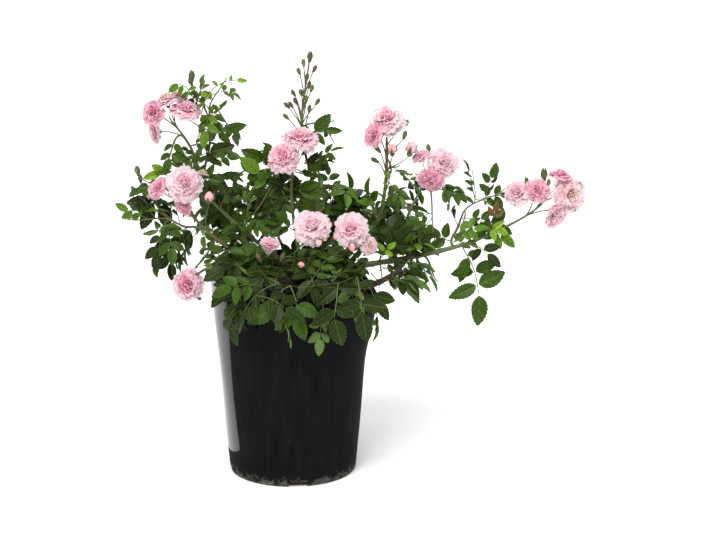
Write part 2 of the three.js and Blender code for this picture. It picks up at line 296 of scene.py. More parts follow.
notch_width, notch_height, notch_depth, notch_corner = 20 * MM, 6 * MM, 8 * MM, 2.5 * MM
notch_count, first_notch = 4, -84
for index in range(notch_count):
    arch = [(-notch_width / 2, -notch_height), (notch_width / 2, -notch_height)]
    for side, turn in ((1, 0), (-1, 90)):
        centre = side * (notch_width / 2 - notch_corner)
        arch += [(centre + notch_corner * math.cos(a),
                  notch_height - notch_corner + notch_corner * math.sin(a))
                 for a in (math.radians(turn + d) for d in (0, 30, 60, 90))]
    heading = Matrix.Rotation(math.radians(first_notch + 360 / notch_count * index), 4, "Z")
    near, far = foot_radius - notch_depth, foot_radius + notch_depth
    points = [heading @ Vector((reach, across, up)) for reach in (near, far) for across, up in arch]
    count = len(arch)
    faces = [tuple(range(count - 1, -1, -1)), tuple(range(count, 2 * count))]
    faces += [(i, (i + 1) % count, count + (i + 1) % count, count + i) for i in range(count)]
    cutter = mesh_object("notch_cutter", points, faces)
    cut = pot.modifiers.new("drain_notch", "BOOLEAN")
    cut.object, cut.operation, cut.solver = cutter, "DIFFERENCE", "EXACT"
    bpy.context.view_layer.update()
    shaped = bpy.data.meshes.new_from_object(pot.evaluated_get(bpy.context.evaluated_depsgraph_get()))
    pot.modifiers.clear()
    pot.data = shaped
    bpy.data.objects.remove(cutter)
finished(pot, "pot_plastic", "pot")

# the card lights the pot alone, so that the leaves and the floor stay under the soft sun
only_pot = bpy.data.collections.new("lit_by_card")
only_pot.objects.link(pot)
floor_card.light_linking.receiver_collection = only_pot


# ---- Potting mix ----
# Damp peat and composted bark, filled to a little below the rim and bulging where the rim is pulled down.
# The filled body is one solid; loose crumbs and chips lie all over its top.

def new_tree(name, **inputs):
    """A geometry tree with named inputs, each given as (socket type, default)."""
    tree = bpy.data.node_groups.new(name, "GeometryNodeTree")
    tree.interface.new_socket("Geometry", in_out="INPUT", socket_type="NodeSocketGeometry")
    tree.interface.new_socket("Geometry", in_out="OUTPUT", socket_type="NodeSocketGeometry")
    for label, (kind, default) in inputs.items():
        socket = tree.interface.new_socket(label.replace("_", " "), in_out="INPUT", socket_type=kind)
        if default is not None:
            socket.default_value = default
    source = add_node(tree, "NodeGroupInput").outputs
    return tree, source


def close_tree(tree, geometry):
    """Ends a tree in realized instances."""
    real = add_node(tree, "GeometryNodeRealizeInstances", {"Geometry": geometry})
    add_node(tree, "NodeGroupOutput", {"Geometry": real.outputs["Geometry"]})


def made_by(tree, name, base, **values):
    """The plain mesh that a geometry tree makes from a base object, which it uses up."""
    modifier = base.modifiers.new(tree.name, "NODES")
    modifier.node_group = tree
    sockets = {s.name: s.identifier for s in tree.interface.items_tree
               if s.item_type == "SOCKET" and s.in_out == "INPUT"}
    for label, value in values.items():
        modifier[sockets[label.replace("_", " ")]] = value
    bpy.context.view_layer.update()
    mesh = bpy.data.meshes.new_from_object(base.evaluated_get(bpy.context.evaluated_depsgraph_get()))
    bpy.data.objects.remove(base)
    mesh.name = name
    piece = bpy.data.objects.new(name, mesh)
    scene.collection.objects.link(piece)
    return piece


# peat and composted bark, damp: dark warm brown with paler fibres, rough all over
mix_material, tree, shader, place = new_material("peat_and_bark_damp", Roughness=0.95)
grain = add_node(tree, "ShaderNodeTexNoise",
                 {"Vector": place, "Scale": 1 / (4 * MM), "Detail": 8.0, "Roughness": 0.7}).outputs["Fac"]
browns = add_node(tree, "ShaderNodeValToRGB", {"Fac": grain},
                  stops=[(0.3, srgb("#1c120c")), (0.55, srgb("#33241a")), (0.8, srgb("#5a4433"))])
lumps = add_node(tree, "ShaderNodeBump", {"Height": grain, "Distance": 1.5 * MM, "Strength": 1.0})
tree.links.new(browns.outputs["Color"], shader.inputs["Base Color"])
tree.links.new(lumps.outputs["Normal"], shader.inputs["Normal"])
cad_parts["potting_mix"].data.materials.clear()
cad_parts["potting_mix"].data.materials.append(mix_material)

crumb_tree, source = new_tree("scattered_crumbs", Density=("NodeSocketFloat", 30000.0),
                              Smallest=("NodeSocketFloat", 1.2 * MM), Largest=("NodeSocketFloat", 4.2 * MM),
                              Flatness=("NodeSocketFloat", 0.6), Seed=("NodeSocketInt", 4),
                              Finish=("NodeSocketMaterial", None))
facing = add_node(crumb_tree, "GeometryNodeInputNormal").outputs[0]
upward = add_node(crumb_tree, "ShaderNodeSeparateXYZ", {0: facing}).outputs["Z"]
on_top = add_node(crumb_tree, "FunctionNodeCompare", {0: upward, 1: 0.6}, data_type="FLOAT",
                  operation="GREATER_THAN")
spread = add_node(crumb_tree, "GeometryNodeDistributePointsOnFaces",
                  {"Mesh": source["Geometry"], "Selection": on_top.outputs[0],
                   "Density": source["Density"], "Seed": source["Seed"]})
crumb = add_node(crumb_tree, "GeometryNodeMeshIcoSphere", {"Radius": 1.0, "Subdivisions": 1})
any_turn = add_node(crumb_tree, "FunctionNodeRandomValue",
                    {0: (0, 0, 0), 1: (6.3, 6.3, 6.3), "Seed": source["Seed"]}, data_type="FLOAT_VECTOR")
any_size = add_node(crumb_tree, "FunctionNodeRandomValue",
                    {2: source["Smallest"], 3: source["Largest"], "Seed": source["Seed"]},
                    data_type="FLOAT")
thin = add_node(crumb_tree, "ShaderNodeMath", {0: any_size.outputs[1], 1: source["Flatness"]},
                operation="MULTIPLY")
narrow = add_node(crumb_tree, "ShaderNodeMath", {0: any_size.outputs[1], 1: 0.5}, operation="MULTIPLY")
shape = add_node(crumb_tree, "ShaderNodeCombineXYZ",
                 {"X": any_size.outputs[1], "Y": thin.outputs[0], "Z": narrow.outputs[0]})
strewn = add_node(crumb_tree, "GeometryNodeInstanceOnPoints",
                  {"Points": spread.outputs["Points"], "Instance": crumb.outputs["Mesh"],
                   "Rotation": any_turn.outputs[0], "Scale": shape.outputs[0]})
painted = add_node(crumb_tree, "GeometryNodeSetMaterial",
                   {"Geometry": strewn.outputs["Instances"], "Material": source["Finish"]})
close_tree(crumb_tree, painted.outputs[0])

soil_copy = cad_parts["potting_mix"].data.copy()
soil_bed = bpy.data.objects.new("soil_bed", soil_copy)
scene.collection.objects.link(soil_bed)
crumbs = made_by(crumb_tree, "mix_crumbs", soil_bed, Finish=mix_material)
finished(crumbs, "potting_mix")


# ---- Stem base and canes ----
# The budded stump just clears the mix. Green canes as thick as drinking straws rise from it, and a brown dead
# stub leans out over the low side. Each limb is one smooth length with swollen leaf joints and prickles.

def centre_line(node):
    """The ring centres and radii of a limb's solid, from its foot to its tip."""
    solid = bmesh.new()
    solid.from_mesh(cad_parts[node].data)
    bmesh.ops.remove_doubles(solid, verts=solid.verts, dist=1e-6)

    def across(v):
        return [e.other_vert(v) for e in v.link_edges]

    def middle(ring):
        return sum((v.co for v in ring), Vector()) / len(ring)

    ends = [v for v in solid.verts if (middle(across(v)) - v.co).length < 2e-5]
    ring = [min(ends, key=lambda v: (v.co - stump_top).length)]
    seen, line = set(), []
    while ring:
        seen.update(ring)
        ring = sorted({w for v in ring for w in across(v) if w not in seen}, key=lambda v: v.index)
        if len(ring) > 1:
            centre = middle(ring)
            line.append((centre, sum((v.co - centre).length for v in ring) / len(ring)))
    solid.free()
    return line


def smooth_line(points, values, step):
    """Even points on the smooth line through the given ones, with their values carried along."""
    points, values = np.array(points, float), np.array(values, float)
    along = np.append(0, np.cumsum(np.linalg.norm(np.diff(points, axis=0), axis=1)))
    slope = np.gradient(points, along, axis=0)
    at = np.linspace(0, along[-1], max(2, round(along[-1] / step) + 1))
    i = np.clip(np.searchsorted(along, at, "right") - 1, 0, len(along) - 2)
    h = (along[i + 1] - along[i])[:, None]
    u = (at - along[i])[:, None] / h
    line = ((2 * u ** 3 - 3 * u ** 2 + 1) * points[i] + (u ** 3 - 2 * u ** 2 + u) * h * slope[i]
            + (3 * u ** 2 - 2 * u ** 3) * points[i + 1] + (u ** 3 - u ** 2) * h * slope[i + 1])
    return [Vector(p) for p in line], [float(v) for v in np.interp(at, along, values)]


def line_mesh(name, lines):
    """Open lines as one mesh of edges that carries each point's radius."""
    points = [p for line, _ in lines for p in line]
    edges, start = [], 0
    for line, _ in lines:
        edges += [(start + i, start + i + 1) for i in range(len(line) - 1)]
        start += len(line)
    mesh = bpy.data.meshes.new(name)
    mesh.from_pydata(points, edges, [])
    thickness = mesh.attributes.new("radius", "FLOAT", "POINT")
    thickness.data.foreach_set("value", [r for _, radii in lines for r in radii])
    piece = bpy.data.objects.new(name, mesh)
    scene.collection.objects.link(piece)
    return piece


sweep_tree, source = new_tree("swept_limb", Sides=("NodeSocketInt", 12), Relief=("NodeSocketFloat", 0.0),
                              Grain=("NodeSocketFloat", 3 * MM), Finish=("NodeSocketMaterial", None))
paths = add_node(sweep_tree, "GeometryNodeMeshToCurve", {"Mesh": source["Geometry"]})
girth = add_node(sweep_tree, "GeometryNodeInputNamedAttribute", {"Name": "radius"}, data_type="FLOAT")
sized = add_node(sweep_tree, "GeometryNodeSetCurveRadius",
                 {"Curve": paths.outputs["Curve"], "Radius": girth.outputs["Attribute"]})
section = add_node(sweep_tree, "GeometryNodeCurvePrimitiveCircle",
                   {"Resolution": source["Sides"], "Radius": 1.0})
skin = add_node(sweep_tree, "GeometryNodeCurveToMesh",
                {"Curve": sized.outputs["Curve"], "Profile Curve": section.outputs["Curve"],
                 "Fill Caps": True})
if "Scale" in skin.inputs:
    sweep_tree.links.new(girth.outputs["Attribute"], skin.inputs["Scale"])
here = add_node(sweep_tree, "GeometryNodeInputPosition").outputs[0]
fineness = add_node(sweep_tree, "ShaderNodeMath", {0: 1.0, 1: source["Grain"]}, operation="DIVIDE")
knots = add_node(sweep_tree, "ShaderNodeTexNoise",
                 {"Vector": here, "Scale": fineness.outputs[0], "Detail": 3.0})
centred = add_node(sweep_tree, "ShaderNodeMath", {0: knots.outputs["Fac"], 1: 0.5}, operation="SUBTRACT")
raised = add_node(sweep_tree, "ShaderNodeMath", {0: centred.outputs[0], 1: source["Relief"]},
                  operation="MULTIPLY")
outward = add_node(sweep_tree, "GeometryNodeInputNormal").outputs[0]
push = add_node(sweep_tree, "ShaderNodeVectorMath", {0: outward, "Scale": raised.outputs[0]},
                operation="SCALE")
barked = add_node(sweep_tree, "GeometryNodeSetPosition",
                  {"Geometry": skin.outputs["Mesh"], "Offset": push.outputs[0]})
smoothed = add_node(sweep_tree, "GeometryNodeSetShadeSmooth", {"Geometry": barked.outputs["Geometry"]})
clad = add_node(sweep_tree, "GeometryNodeSetMaterial",
                {"Geometry": smoothed.outputs[0], "Material": source["Finish"]})
close_tree(sweep_tree, clad.outputs[0])

# old rose wood: grey-brown cork, cracked along its length
old_bark, tree, shader, place = new_material("rose_wood_weathered_bark", Roughness=0.85)
grain = add_node(tree, "ShaderNodeTexNoise",
                 {"Vector": place, "Scale": 1 / (3 * MM), "Detail": 8.0, "Roughness": 0.65}).outputs["Fac"]
cork = add_node(tree, "ShaderNodeValToRGB", {"Fac": grain},
                stops=[(0.3, srgb("#1f1712")), (0.55, srgb("#3a2c20")), (0.8, srgb("#6a5844"))])
cracks = add_node(tree, "ShaderNodeBump", {"Height": grain, "Distance": 0.8 * MM, "Strength": 1.0})
tree.links.new(cork.outputs["Color"], shader.inputs["Base Color"])
tree.links.new(cracks.outputs["Normal"], shader.inputs["Normal"])

# this year's canes: smooth green rind, flushed brown by the sun in soft patches, with a faint waxy sheen
cane_rind, tree, shader, place = new_material("rose_cane_green_rind", Roughness=0.48, IOR=1.45)
flush = add_node(tree, "ShaderNodeTexNoise",
                 {"Vector": place, "Scale": 1 / (38 * MM), "Detail": 4.0, "Roughness": 0.55})
flecks = add_node(tree, "ShaderNodeTexNoise", {"Vector": place, "Scale": 1 / (1.6 * MM), "Detail": 4.0,
                                               "Roughness": 0.7}).outputs["Fac"]
rind = add_node(tree, "ShaderNodeValToRGB", {"Fac": flush.outputs["Fac"]},
                stops=[(0.36, srgb("#4c6228")), (0.5, srgb("#475228")), (0.64, srgb("#57422a"))])
freckles = add_node(tree, "ShaderNodeValToRGB", {"Fac": flecks}, stops=[(0.45, 0.0), (0.75, 0.55)])
flecked = add_node(tree, "ShaderNodeMix", {"Factor": freckles.outputs["Color"], 6: rind.outputs["Color"],
                                           7: srgb("#3c3a22")}, data_type="RGBA")
pores = add_node(tree, "ShaderNodeBump", {"Height": flecks, "Distance": 0.25 * MM, "Strength": 0.6})
tree.links.new(flecked.outputs[2], shader.inputs["Base Color"])
tree.links.new(pores.outputs["Normal"], shader.inputs["Normal"])

stump_low, stump_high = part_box("stem_base")
stump_top = Vector(((stump_low.x + stump_high.x) / 2, (stump_low.y + stump_high.y) / 2, stump_high.z))
cane_nodes = [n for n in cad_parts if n.endswith("_cane") or n.startswith("right_arch")]
limbs = {node: centre_line(node) for node in cane_nodes + ["old_stub"]}


def nearest_on_limbs(point, left_out=()):
    """The limb point nearest to a place, as (distance, limb, ring)."""
    return min(((p - point).length, node, i) for node, line in limbs.items() if node not in left_out
               for i, (p, _) in enumerate(line))


joint_gap, joint_swell, joint_length = 24 * MM, 0.16, 0.07
slimness = 0.82
fork_reach, stump_reach = 9 * MM, 25 * MM
rooted_in_stump = ("old_stub", "left_cane")
cane_lines = {}
for node, line in limbs.items():
    foot = line[0][0]
    away, parent, ring = nearest_on_limbs(foot, left_out=(node,))
    forks = (away < fork_reach and node not in rooted_in_stump and parent != "right_arch_outer"
             and (foot - stump_top).length > stump_reach)
    rooted = limbs[parent][ring][0] if forks else foot.lerp(stump_top - Vector((0, 0, 6 * MM)), 0.7)
    points, radii = smooth_line([rooted] + [p for p, _ in line], [line[0][1]] + [r for _, r in line],
                                1.6 * MM)
    travelled = 0.0
    for i, r in enumerate(radii):
        travelled += (points[i] - points[i - 1]).length if i else 0
        near_joint = (travelled % joint_gap) / joint_gap
        swell = joint_swell * math.exp(-(min(near_joint, 1 - near_joint) / joint_length) ** 2)
        radii[i] = slimness * r * (1 + swell)
    cane_lines[node] = (points, radii)
    old = node == "old_stub"
    piece = made_by(sweep_tree, node + "_bark", line_mesh(node, [cane_lines[node]]), Sides=14,
                    Relief=(1.4 if old else 0.5) * MM, Grain=(2.5 if old else 4) * MM,
                    Finish=old_bark if old else cane_rind)
    finished(piece, "old_wood" if old else "green_cane", node)

# a few bare dead twigs still hang from the stub
twigs = [[(84, 10, 212), (90, 9, 205), (98, 8, 200), (108, 8, 199)],
         [(90, 9, 205), (93, 6, 198), (91, 5, 193)],
         [(92, 10, 214), (98, 8, 217), (103, 7, 214)],
         [(86, 8, 219), (93, 6, 224), (99, 8, 221)]]
twig_radius = 0.6 * MM
twig_lines = []
for twig in twigs:
    line, _ = smooth_line([Vector(p) * MM for p in twig], [0] * len(twig), 1.5 * MM)
    twig_lines.append((line, [twig_radius * (1 - 0.6 * i / len(line)) for i in range(len(line))]))
dead = made_by(sweep_tree, "dead_twigs", line_mesh("dead_twigs", twig_lines), Sides=6, Finish=old_bark)
finished(dead, "old_wood", "old_stub")

# the stump: a knobbly short stem, widest at the union and lumpy where old canes were pruned away
stump_radius = (stump_high.x - stump_low.x) / 2
heights = np.linspace(stump_low.z + 1 * MM, stump_high.z - 1 * MM, 16)
stump_line = [Vector((stump_top.x, stump_top.y, z)) for z in heights]
share = [(z - stump_low.z) / (stump_high.z - stump_low.z) for z in heights]
stump_radii = [stump_radius * math.sqrt(max(1 - (2 * s - 1) ** 2, 0.05)) * 0.94 for s in share]
stump = made_by(sweep_tree, "stem_base_bark", line_mesh("stump", [(stump_line, stump_radii)]), Sides=40,
                Relief=6 * MM, Grain=9 * MM, Finish=old_bark)
finished(stump, "old_wood", "stem_base")

# prickles: broad-based, hooked and brown, scattered on the canes
prickle_brown = mottled("rose_prickle_horny", 9 * MM, (0.3, "#6d4a33"), (0.7, "#8a6a48"), Roughness=0.45)
prickle_sides, prickle_rings = 6, 4
points, faces = [], []
for ring in range(prickle_rings):
    t = ring / (prickle_rings - 1)
    for k in range(prickle_sides):
        a = 2 * math.pi * k / prickle_sides
        taper = (1 - t) ** 1.4
        points.append((0.25 * taper * math.cos(a), 0.5 * taper * math.sin(a) - 0.45 * t * t, t))
for ring in range(prickle_rings - 1):
    for k in range(prickle_sides):
        n = (k + 1) % prickle_sides
        a, b = ring * prickle_sides, (ring + 1) * prickle_sides
        faces.append((a + k, a + n, b + n, b + k))
faces.append(tuple(range(prickle_sides - 1, -1, -1)))
prickle = mesh_object("prickle", points, faces)

prickle_tree, source = new_tree("scattered_prickles", Density=("NodeSocketFloat", 1500.0),
                                Prickle=("NodeSocketObject", None), Longest=("NodeSocketFloat", 3.2 * MM),
                                Seed=("NodeSocketInt", 9), Finish=("NodeSocketMaterial", None))
spots = add_node(prickle_tree, "GeometryNodeDistributePointsOnFaces",
                 {"Mesh": source["Geometry"], "Density": source["Density"], "Seed": source["Seed"]})
one = add_node(prickle_tree, "GeometryNodeObjectInfo", {"Object": source["Prickle"], "As Instance": True})
shortest = add_node(prickle_tree, "ShaderNodeMath", {0: source["Longest"], 1: 0.45}, operation="MULTIPLY")
lengths = add_node(prickle_tree, "FunctionNodeRandomValue",
                   {2: shortest.outputs[0], 3: source["Longest"], "Seed": source["Seed"]},
                   data_type="FLOAT")
stuck_on = add_node(prickle_tree, "GeometryNodeInstanceOnPoints",
                    {"Points": spots.outputs["Points"], "Instance": one.outputs["Geometry"],
                     "Rotation": spots.outputs["Rotation"], "Scale": lengths.outputs[1]})
horny = add_node(prickle_tree, "GeometryNodeSetMaterial",
                 {"Geometry": stuck_on.outputs["Instances"], "Material": source["Finish"]})
close_tree(prickle_tree, horny.outputs[0])
all_canes = made_by(sweep_tree, "all_canes", line_mesh("all_canes", list(cane_lines.values())), Sides=8,
                    Finish=cane_rind)
prickles = made_by(prickle_tree, "prickles", all_canes, Prickle=prickle, Finish=prickle_brown)
bpy.data.objects.remove(prickle)
finished(prickles, "green_cane")


# ---- Leafy shoots ----
# Side shoots break from the canes and fork until they reach through each mass of foliage. They carry
# pinnate leaves of five or seven toothed leaflets, which turn their upper faces to the light.

up = Vector((0, 0, 1))
plant_middle = Vector((0.015, 0, 0.225))


def solid_of(node):
    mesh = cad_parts[node].data
    return BVHTree.FromPolygons([v.co for v in mesh.vertices], [tuple(p.vertices) for p in mesh.polygons])


def depth(solid, point):
    """How far inside a solid a point lies, in metres, and less than zero outside."""
    near, normal, _, distance = solid.find_nearest(point)
    return distance if (point - near).dot(normal) < 0 else -distance


def points_inside(node, solid, count, dice):
    """Places inside a mass, chosen at random, and the volume of the mass in cubic metres."""
    low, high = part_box(node)
    found, tried = [], 0
    while len(found) < count:
        tried += 1
        point = Vector([dice.uniform(a, b) for a, b in zip(low, high)])
        if depth(solid, point) > 0:
            found.append(point)
    side = high - low
    return found, side.x * side.y * side.z * count / tried


def bowed_line(start, heading, end, arrival, step):
    """Points on a curve that leaves one point along a heading and arrives at another along its own."""
    span = (end - start).length
    count = max(3, round(span / step) + 1)
    a, b = heading.normalized() * span, arrival.normalized() * span
    line = []
    for t in (i / (count - 1) for i in range(count)):
        line.append((2 * t ** 3 - 3 * t ** 2 + 1) * start + (t ** 3 - 2 * t ** 2 + t) * a
                    + (3 * t ** 2 - 2 * t ** 3) * end + (t ** 3 - t ** 2) * b)
    return line


def headings(line):
    """The direction of travel at each point of a line."""
    return [(line[min(i + 1, len(line) - 1)] - line[max(i - 1, 0)]).normalized() for i in range(len(line))]


def any_way(dice):
    """A random direction."""
    return Vector([dice.gauss(0, 1) for _ in range(3)]).normalized()


leaf_masses = [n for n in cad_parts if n.endswith(("_leaves", "_skirt"))]
flower_masses = [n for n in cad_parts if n.endswith(("_flowers", "_flower", "_spire"))]
flower_solids = [solid_of(n) for n in flower_masses]
pot_axis_reach = neck_radius + 4 * MM

# wood that shoots may break from: (place, heading, radius)
wood, cane_tips = [], []
for node, (points, radii) in cane_lines.items():
    if node != "old_stub":
        ways = headings(points)
        wood += [(points[i], ways[i], radii[i]) for i in range(0, len(points), 3) if points[i].z > 0.206]
        cane_tips.append((points[-1], ways[-1], radii[-1]))

shoot_lines, stalk_lines, leaves = [], [], []


def in_pot(point):
    """True where a place is inside the pot, in its wall, or in the mix."""
    return point.z < 0.221 and math.hypot(point.x, point.y) < pot_axis_reach


def tapered(line, thick, thin):
    """A line with its radii, running from thick to thin."""
    return line, [thick + (thin - thick) * i / (len(line) - 1) for i in range(len(line))]


def break_shoot(target, dice, rise, tip=None, thickest=1.4 * MM, thinnest=0.6 * MM):
    """Grows a shoot to a target from the best-placed wood or a cane's tip. It is wood from then on."""
    start, way, radius = tip or min(wood, key=lambda w: (w[0] - target).length
                                    - 8 * MM * w[1].dot((target - w[0]).normalized()))
    span = target - start
    if span.length < 6 * MM:
        return
    heading = way * (1.2 if tip else 0.5) + span.normalized() + up * rise * 0.5 + any_way(dice) * 0.2
    line = bowed_line(start, heading, target, span.normalized() + up * rise, 4 * MM)
    shoot_radius = radius if tip else min(thickest, radius * 0.72)
    tip_radius = min(thinnest, shoot_radius * 0.6)
    line, radii = tapered(line, shoot_radius, tip_radius)
    shoot_lines.append((line, radii))
    ways = headings(line)
    wood.extend((line[i], ways[i], radii[i]) for i in range(1, len(line)))


def compound_leaf(base, heading, face, size, pairs, droop, dice):
    """A pinnate leaf: its stalk's line, and each leaflet as (foot, heading, face, length)."""
    petiole, pitch, end_stalk = 0.62 * size, 0.56 * size, 0.34 * size
    reach = petiole + pitch * (pairs - 1) + end_stalk
    steps = 4 + 3 * pairs
    line, way = [base], heading.normalized()
    for _ in range(steps):
        way = (way - up * droop / steps).normalized()
        line.append(line[-1] + way * reach / steps)
    ways = headings(line)
    leaflets = []

    def leaflet(at, spread, side, length):
        i = min(round(at / reach * steps), steps)
        flat = (face - ways[i] * face.dot(ways[i])).normalized()
        across = ways[i].cross(flat)
        point = (ways[i] * math.cos(spread) + across * side * math.sin(spread)
                 - flat * dice.uniform(-0.1, 0.3))
        point.normalize()
        tilted = flat - across * side * dice.uniform(0.0, 0.35) + any_way(dice) * 0.22
        tilted = (tilted - point * tilted.dot(point)).normalized()
        leaflets.append((line[i] + point * 0.06 * size, point, tilted, length * dice.uniform(0.9, 1.08)))

    leaflet(reach, dice.uniform(-0.15, 0.15), 1, size * 1.12)
    for pair in range(pairs):
        for side in (1, -1):
            leaflet(reach - end_stalk - pitch * pair, math.radians(dice.uniform(46, 68)), side,
                    size * (0.98 - 0.15 * pair))
    return line, leaflets


def leaf_size(node):
    """The length of a full leaflet in a mass: large low down and in the skirt, small on young growth."""
    for word, size in (("skirt", 23), ("hanging", 27), ("front", 20), ("low", 20), ("inner", 19),
                       ("middle", 19), ("back", 20), ("top", 14), ("upper", 17), ("shoulder", 17)):
        if word in node:
            return size * MM
    return 18 * MM


def leaf_fits(leaflets, solid, placed, size, slack):
    """How well a leaf fits its mass: less for leaflets outside it, in the pot, in a bloom, or on others."""
    score = 0.0
    for foot, point, _, length in leaflets:
        centre, tip = foot + point * length * 0.5, foot + point * length
        if in_pot(centre) or in_pot(tip):
            return -99.0
        out = -depth(solid, centre)
        score -= max(0.0, out - slack) * 400 + max(0.0, -depth(solid, tip) - 2.4 * slack) * 300
        score -= sum(2.0 for s in flower_solids if depth(s, centre) > -3 * MM)
        if placed:
            nearest = min((centre - c).length_squared for c in placed)
            score -= max(0.0, 1 - math.sqrt(nearest) / (0.42 * size)) * 1.2
    return score / len(leaflets)


def leaf_tint(draw, shaded):
    """A spray's tint from a draw between 0 and 1: mostly deep where shaded is set, as painted shade, and
    rarely lime or bronze.
    """
    deep, mid, fresh, lime = (0.66, 0.96, 1.0, 1.0) if shaded else (0.18, 0.64, 0.978, 0.995)
    return next(tint for tint, most in (("deep", deep), ("mid", mid), ("fresh", fresh), ("lime", lime),
                                        ("bronze", 1.0)) if draw <= most)


def lay_leaf(node, tint, stalk, leaflets, lean=(0, -1, 0.35)):
    """Sets one listed leaf, its stalk through given points and each leaflet as (share along it, tip)."""
    dice = random.Random(f"{node} {stalk}")
    points = [Vector(p) * MM for p in stalk]
    nearest = min(wood, key=lambda w: (w[0] - points[0]).length)
    if (nearest[0] - points[0]).length > 10 * MM:
        break_shoot(points[0], dice, rise=0.3)
        nearest = min(wood, key=lambda w: (w[0] - points[0]).length)
    line, _ = smooth_line(points, [0] * len(points), 2 * MM)
    blades = []
    for share, tip in leaflets:
        foot = line[round(share * (len(line) - 1))]
        span = Vector(tip) * MM - foot
        face = Vector(lean).normalized() + any_way(dice) * 0.3
        blades.append((foot + span * 0.04, span.normalized(), face, span.length * 0.96))
    if (nearest[0] - points[0]).length > 1 * MM:
        line.insert(0, nearest[0])
    stalk_lines.append(tapered(line, 0.72 * MM, 0.468 * MM))
    leaves.append({"mass": node, "leaflets": blades, "tint": tint})


def leaf_spacing(node, crowded):
    """How many leaves a mass may carry for its volume, and how near they may lie, in leaflet lengths."""
    if "front" in node:
        return 5.5, 0.38
    if "back" in node:
        return 3.1, 0.54
    return (2.4, 0.54) if crowded else (1.6, 0.6)


leaf_tries, most_misses, places_inside, litres_per_shoot = 26, 12, 260, 0.017


def clothe(node):
    """Grows shoots into a mass of foliage, then sets leaves on them until the mass is covered."""
    dice = random.Random(node)
    solid, size = solid_of(node), leaf_size(node)
    inside, volume = points_inside(node, solid, places_inside, dice)
    low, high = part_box(node)
    middle = (low + high) / 2
    hung = "skirt" in node or "hanging" in node
    goals = [p for p in inside if p.z > middle.z + (0.2 if hung else -0.5) * (high.z - middle.z)] or inside
    wanted = max(2, min(5, round(volume * 1e3 / litres_per_shoot)))
    target = min(goals, key=lambda p: (p - min(wood, key=lambda w: (w[0] - middle).length)[0]).length)
    tip = min(cane_tips, key=lambda t: (t[0] - middle).length)
    tip = tip if (tip[0] - middle).length < 0.55 * (high - low).length else None
    reached = []
    for _ in range(wanted):
        target = max(goals, key=lambda p: min([(p - r).length for r in reached] or [(p - target).length]))
        break_shoot(target, dice, rise=0.1 if hung else 0.5, tip=tip)
        reached.append(target)
        tip = None
    reach = 3.6 * size
    near = [w for w in wood if (w[0] - middle).length < (high - low).length / 2 + reach]
    rim = [p for p in inside if depth(solid, p) < 0.5 * size]
    placed = [foot + point * length * 0.5 for leaf in leaves for foot, point, _, length in leaf["leaflets"]
              if (foot - middle).length < (high - low).length]
    crowded = "front" in node or "inner" in node or "low" in node or "back" in node
    fullness, spacing = leaf_spacing(node, crowded)
    most = 3 if hung else round(3 + volume * 1e3 / size * fullness)
    misses, made = 0, 0
    while rim and made < most and misses < most_misses:
        bare = max(rim, key=lambda p: min([(p - c).length for c in placed] or [(p - middle).length]))
        if placed and min((bare - c).length for c in placed) < spacing * size:
            break
        best, best_score = None, -0.6
        for _ in range(leaf_tries):
            place, way, _ = dice.choice(near)
            span = bare - place
            if not 0.5 * size < span.length < reach:
                continue
            outward = (bare - plant_middle).normalized() * 0.4 + solid.find_nearest(bare)[1] * 0.8
            if hung:
                face = outward + up * 0.2 + any_way(dice) * 0.35
                heading = span.normalized() + outward * 0.2 - up * 0.25 + any_way(dice) * 0.2
                droop = dice.uniform(0.5, 1.3)
            else:
                face = up * 0.5 + outward * 0.8 + any_way(dice) * 0.4
                heading = span.normalized() + up * 0.3 + any_way(dice) * 0.25
                droop = dice.uniform(0.15, 0.85)
            pairs = 3 if dice.random() < 0.25 else 2
            stalk, leaflets = compound_leaf(place, heading, face, size * dice.uniform(0.7, 1.06), pairs,
                                            droop, dice)
            score = leaf_fits(leaflets, solid, placed, size, 5 * MM)
            gap = min((foot + point * length * 0.5 - bare).length for foot, point, _, length in leaflets)
            score += 0.8 * (1 - min(gap / size, 1.5)) + 0.3 * way.dot(heading.normalized())
            if score > best_score:
                best, best_score = (stalk, leaflets), score
        if best is None:
            misses += 1
            rim.remove(bare)
            continue
        made += 1
        stalk, leaflets = best
        stalk_lines.append(tapered(stalk, 0.55 * MM, 0.275 * MM))
        # painted shade: the crowded front, inner and low masses draw mostly the deep tint, while the back
        # masses are left out of it, so their brighter tints are painted light where the front sun leaves them
        # in shade
        tint = leaf_tint(dice.random(), shaded=crowded and "back" not in node)
        leaves.append({"mass": node, "leaflets": leaflets, "tint": tint})
        placed += [foot + point * length * 0.5 for foot, point, _, length in leaflets]


# the leaves that stand out singly at the edges of the plant, in millimetres
lay_leaf("right_hanging_leaves", "mid", [(179, -10, 245), (191, -12, 222), (197, -14, 195)],
         [(1.0, (197, -18, 161)), (0.82, (166, -20, 192)), (0.82, (224, -14, 218)), (0.56, (167, -11, 217)),
          (0.56, (215, -9, 229)), (0.22, (176, -18, 209)), (0.2, (199, -6, 238))])
lay_leaf("right_hanging_leaves", "deep", [(186, -16, 249), (198, -20, 246), (204, -22, 241)],
         [(1.0, (219, -24, 226)), (0.7, (218, -18, 248)), (0.6, (188, -24, 234))])
lay_leaf("right_outer_leaves", "lime", [(203, -6, 260), (213, -9, 265)],
         [(1.0, (227, -12, 259)), (0.7, (222, -10, 272)), (0.6, (213, -14, 252))])
lay_leaf("right_outer_leaves", "fresh", [(206, -6, 256), (218, -8, 257)],
         [(1.0, (235, -10, 245)), (0.6, (219, -12, 243))])
# the skirt leaves take the darker deep and mid tints as painted shade
lay_leaf("front_right_skirt", "deep", [(69, -88, 232), (73, -98, 212), (74, -103, 200)],
         [(1.0, (79, -107, 169)), (0.78, (47, -106, 204)), (0.78, (99, -102, 203)), (0.35, (50, -98, 223)),
          (0.35, (86, -92, 230))])
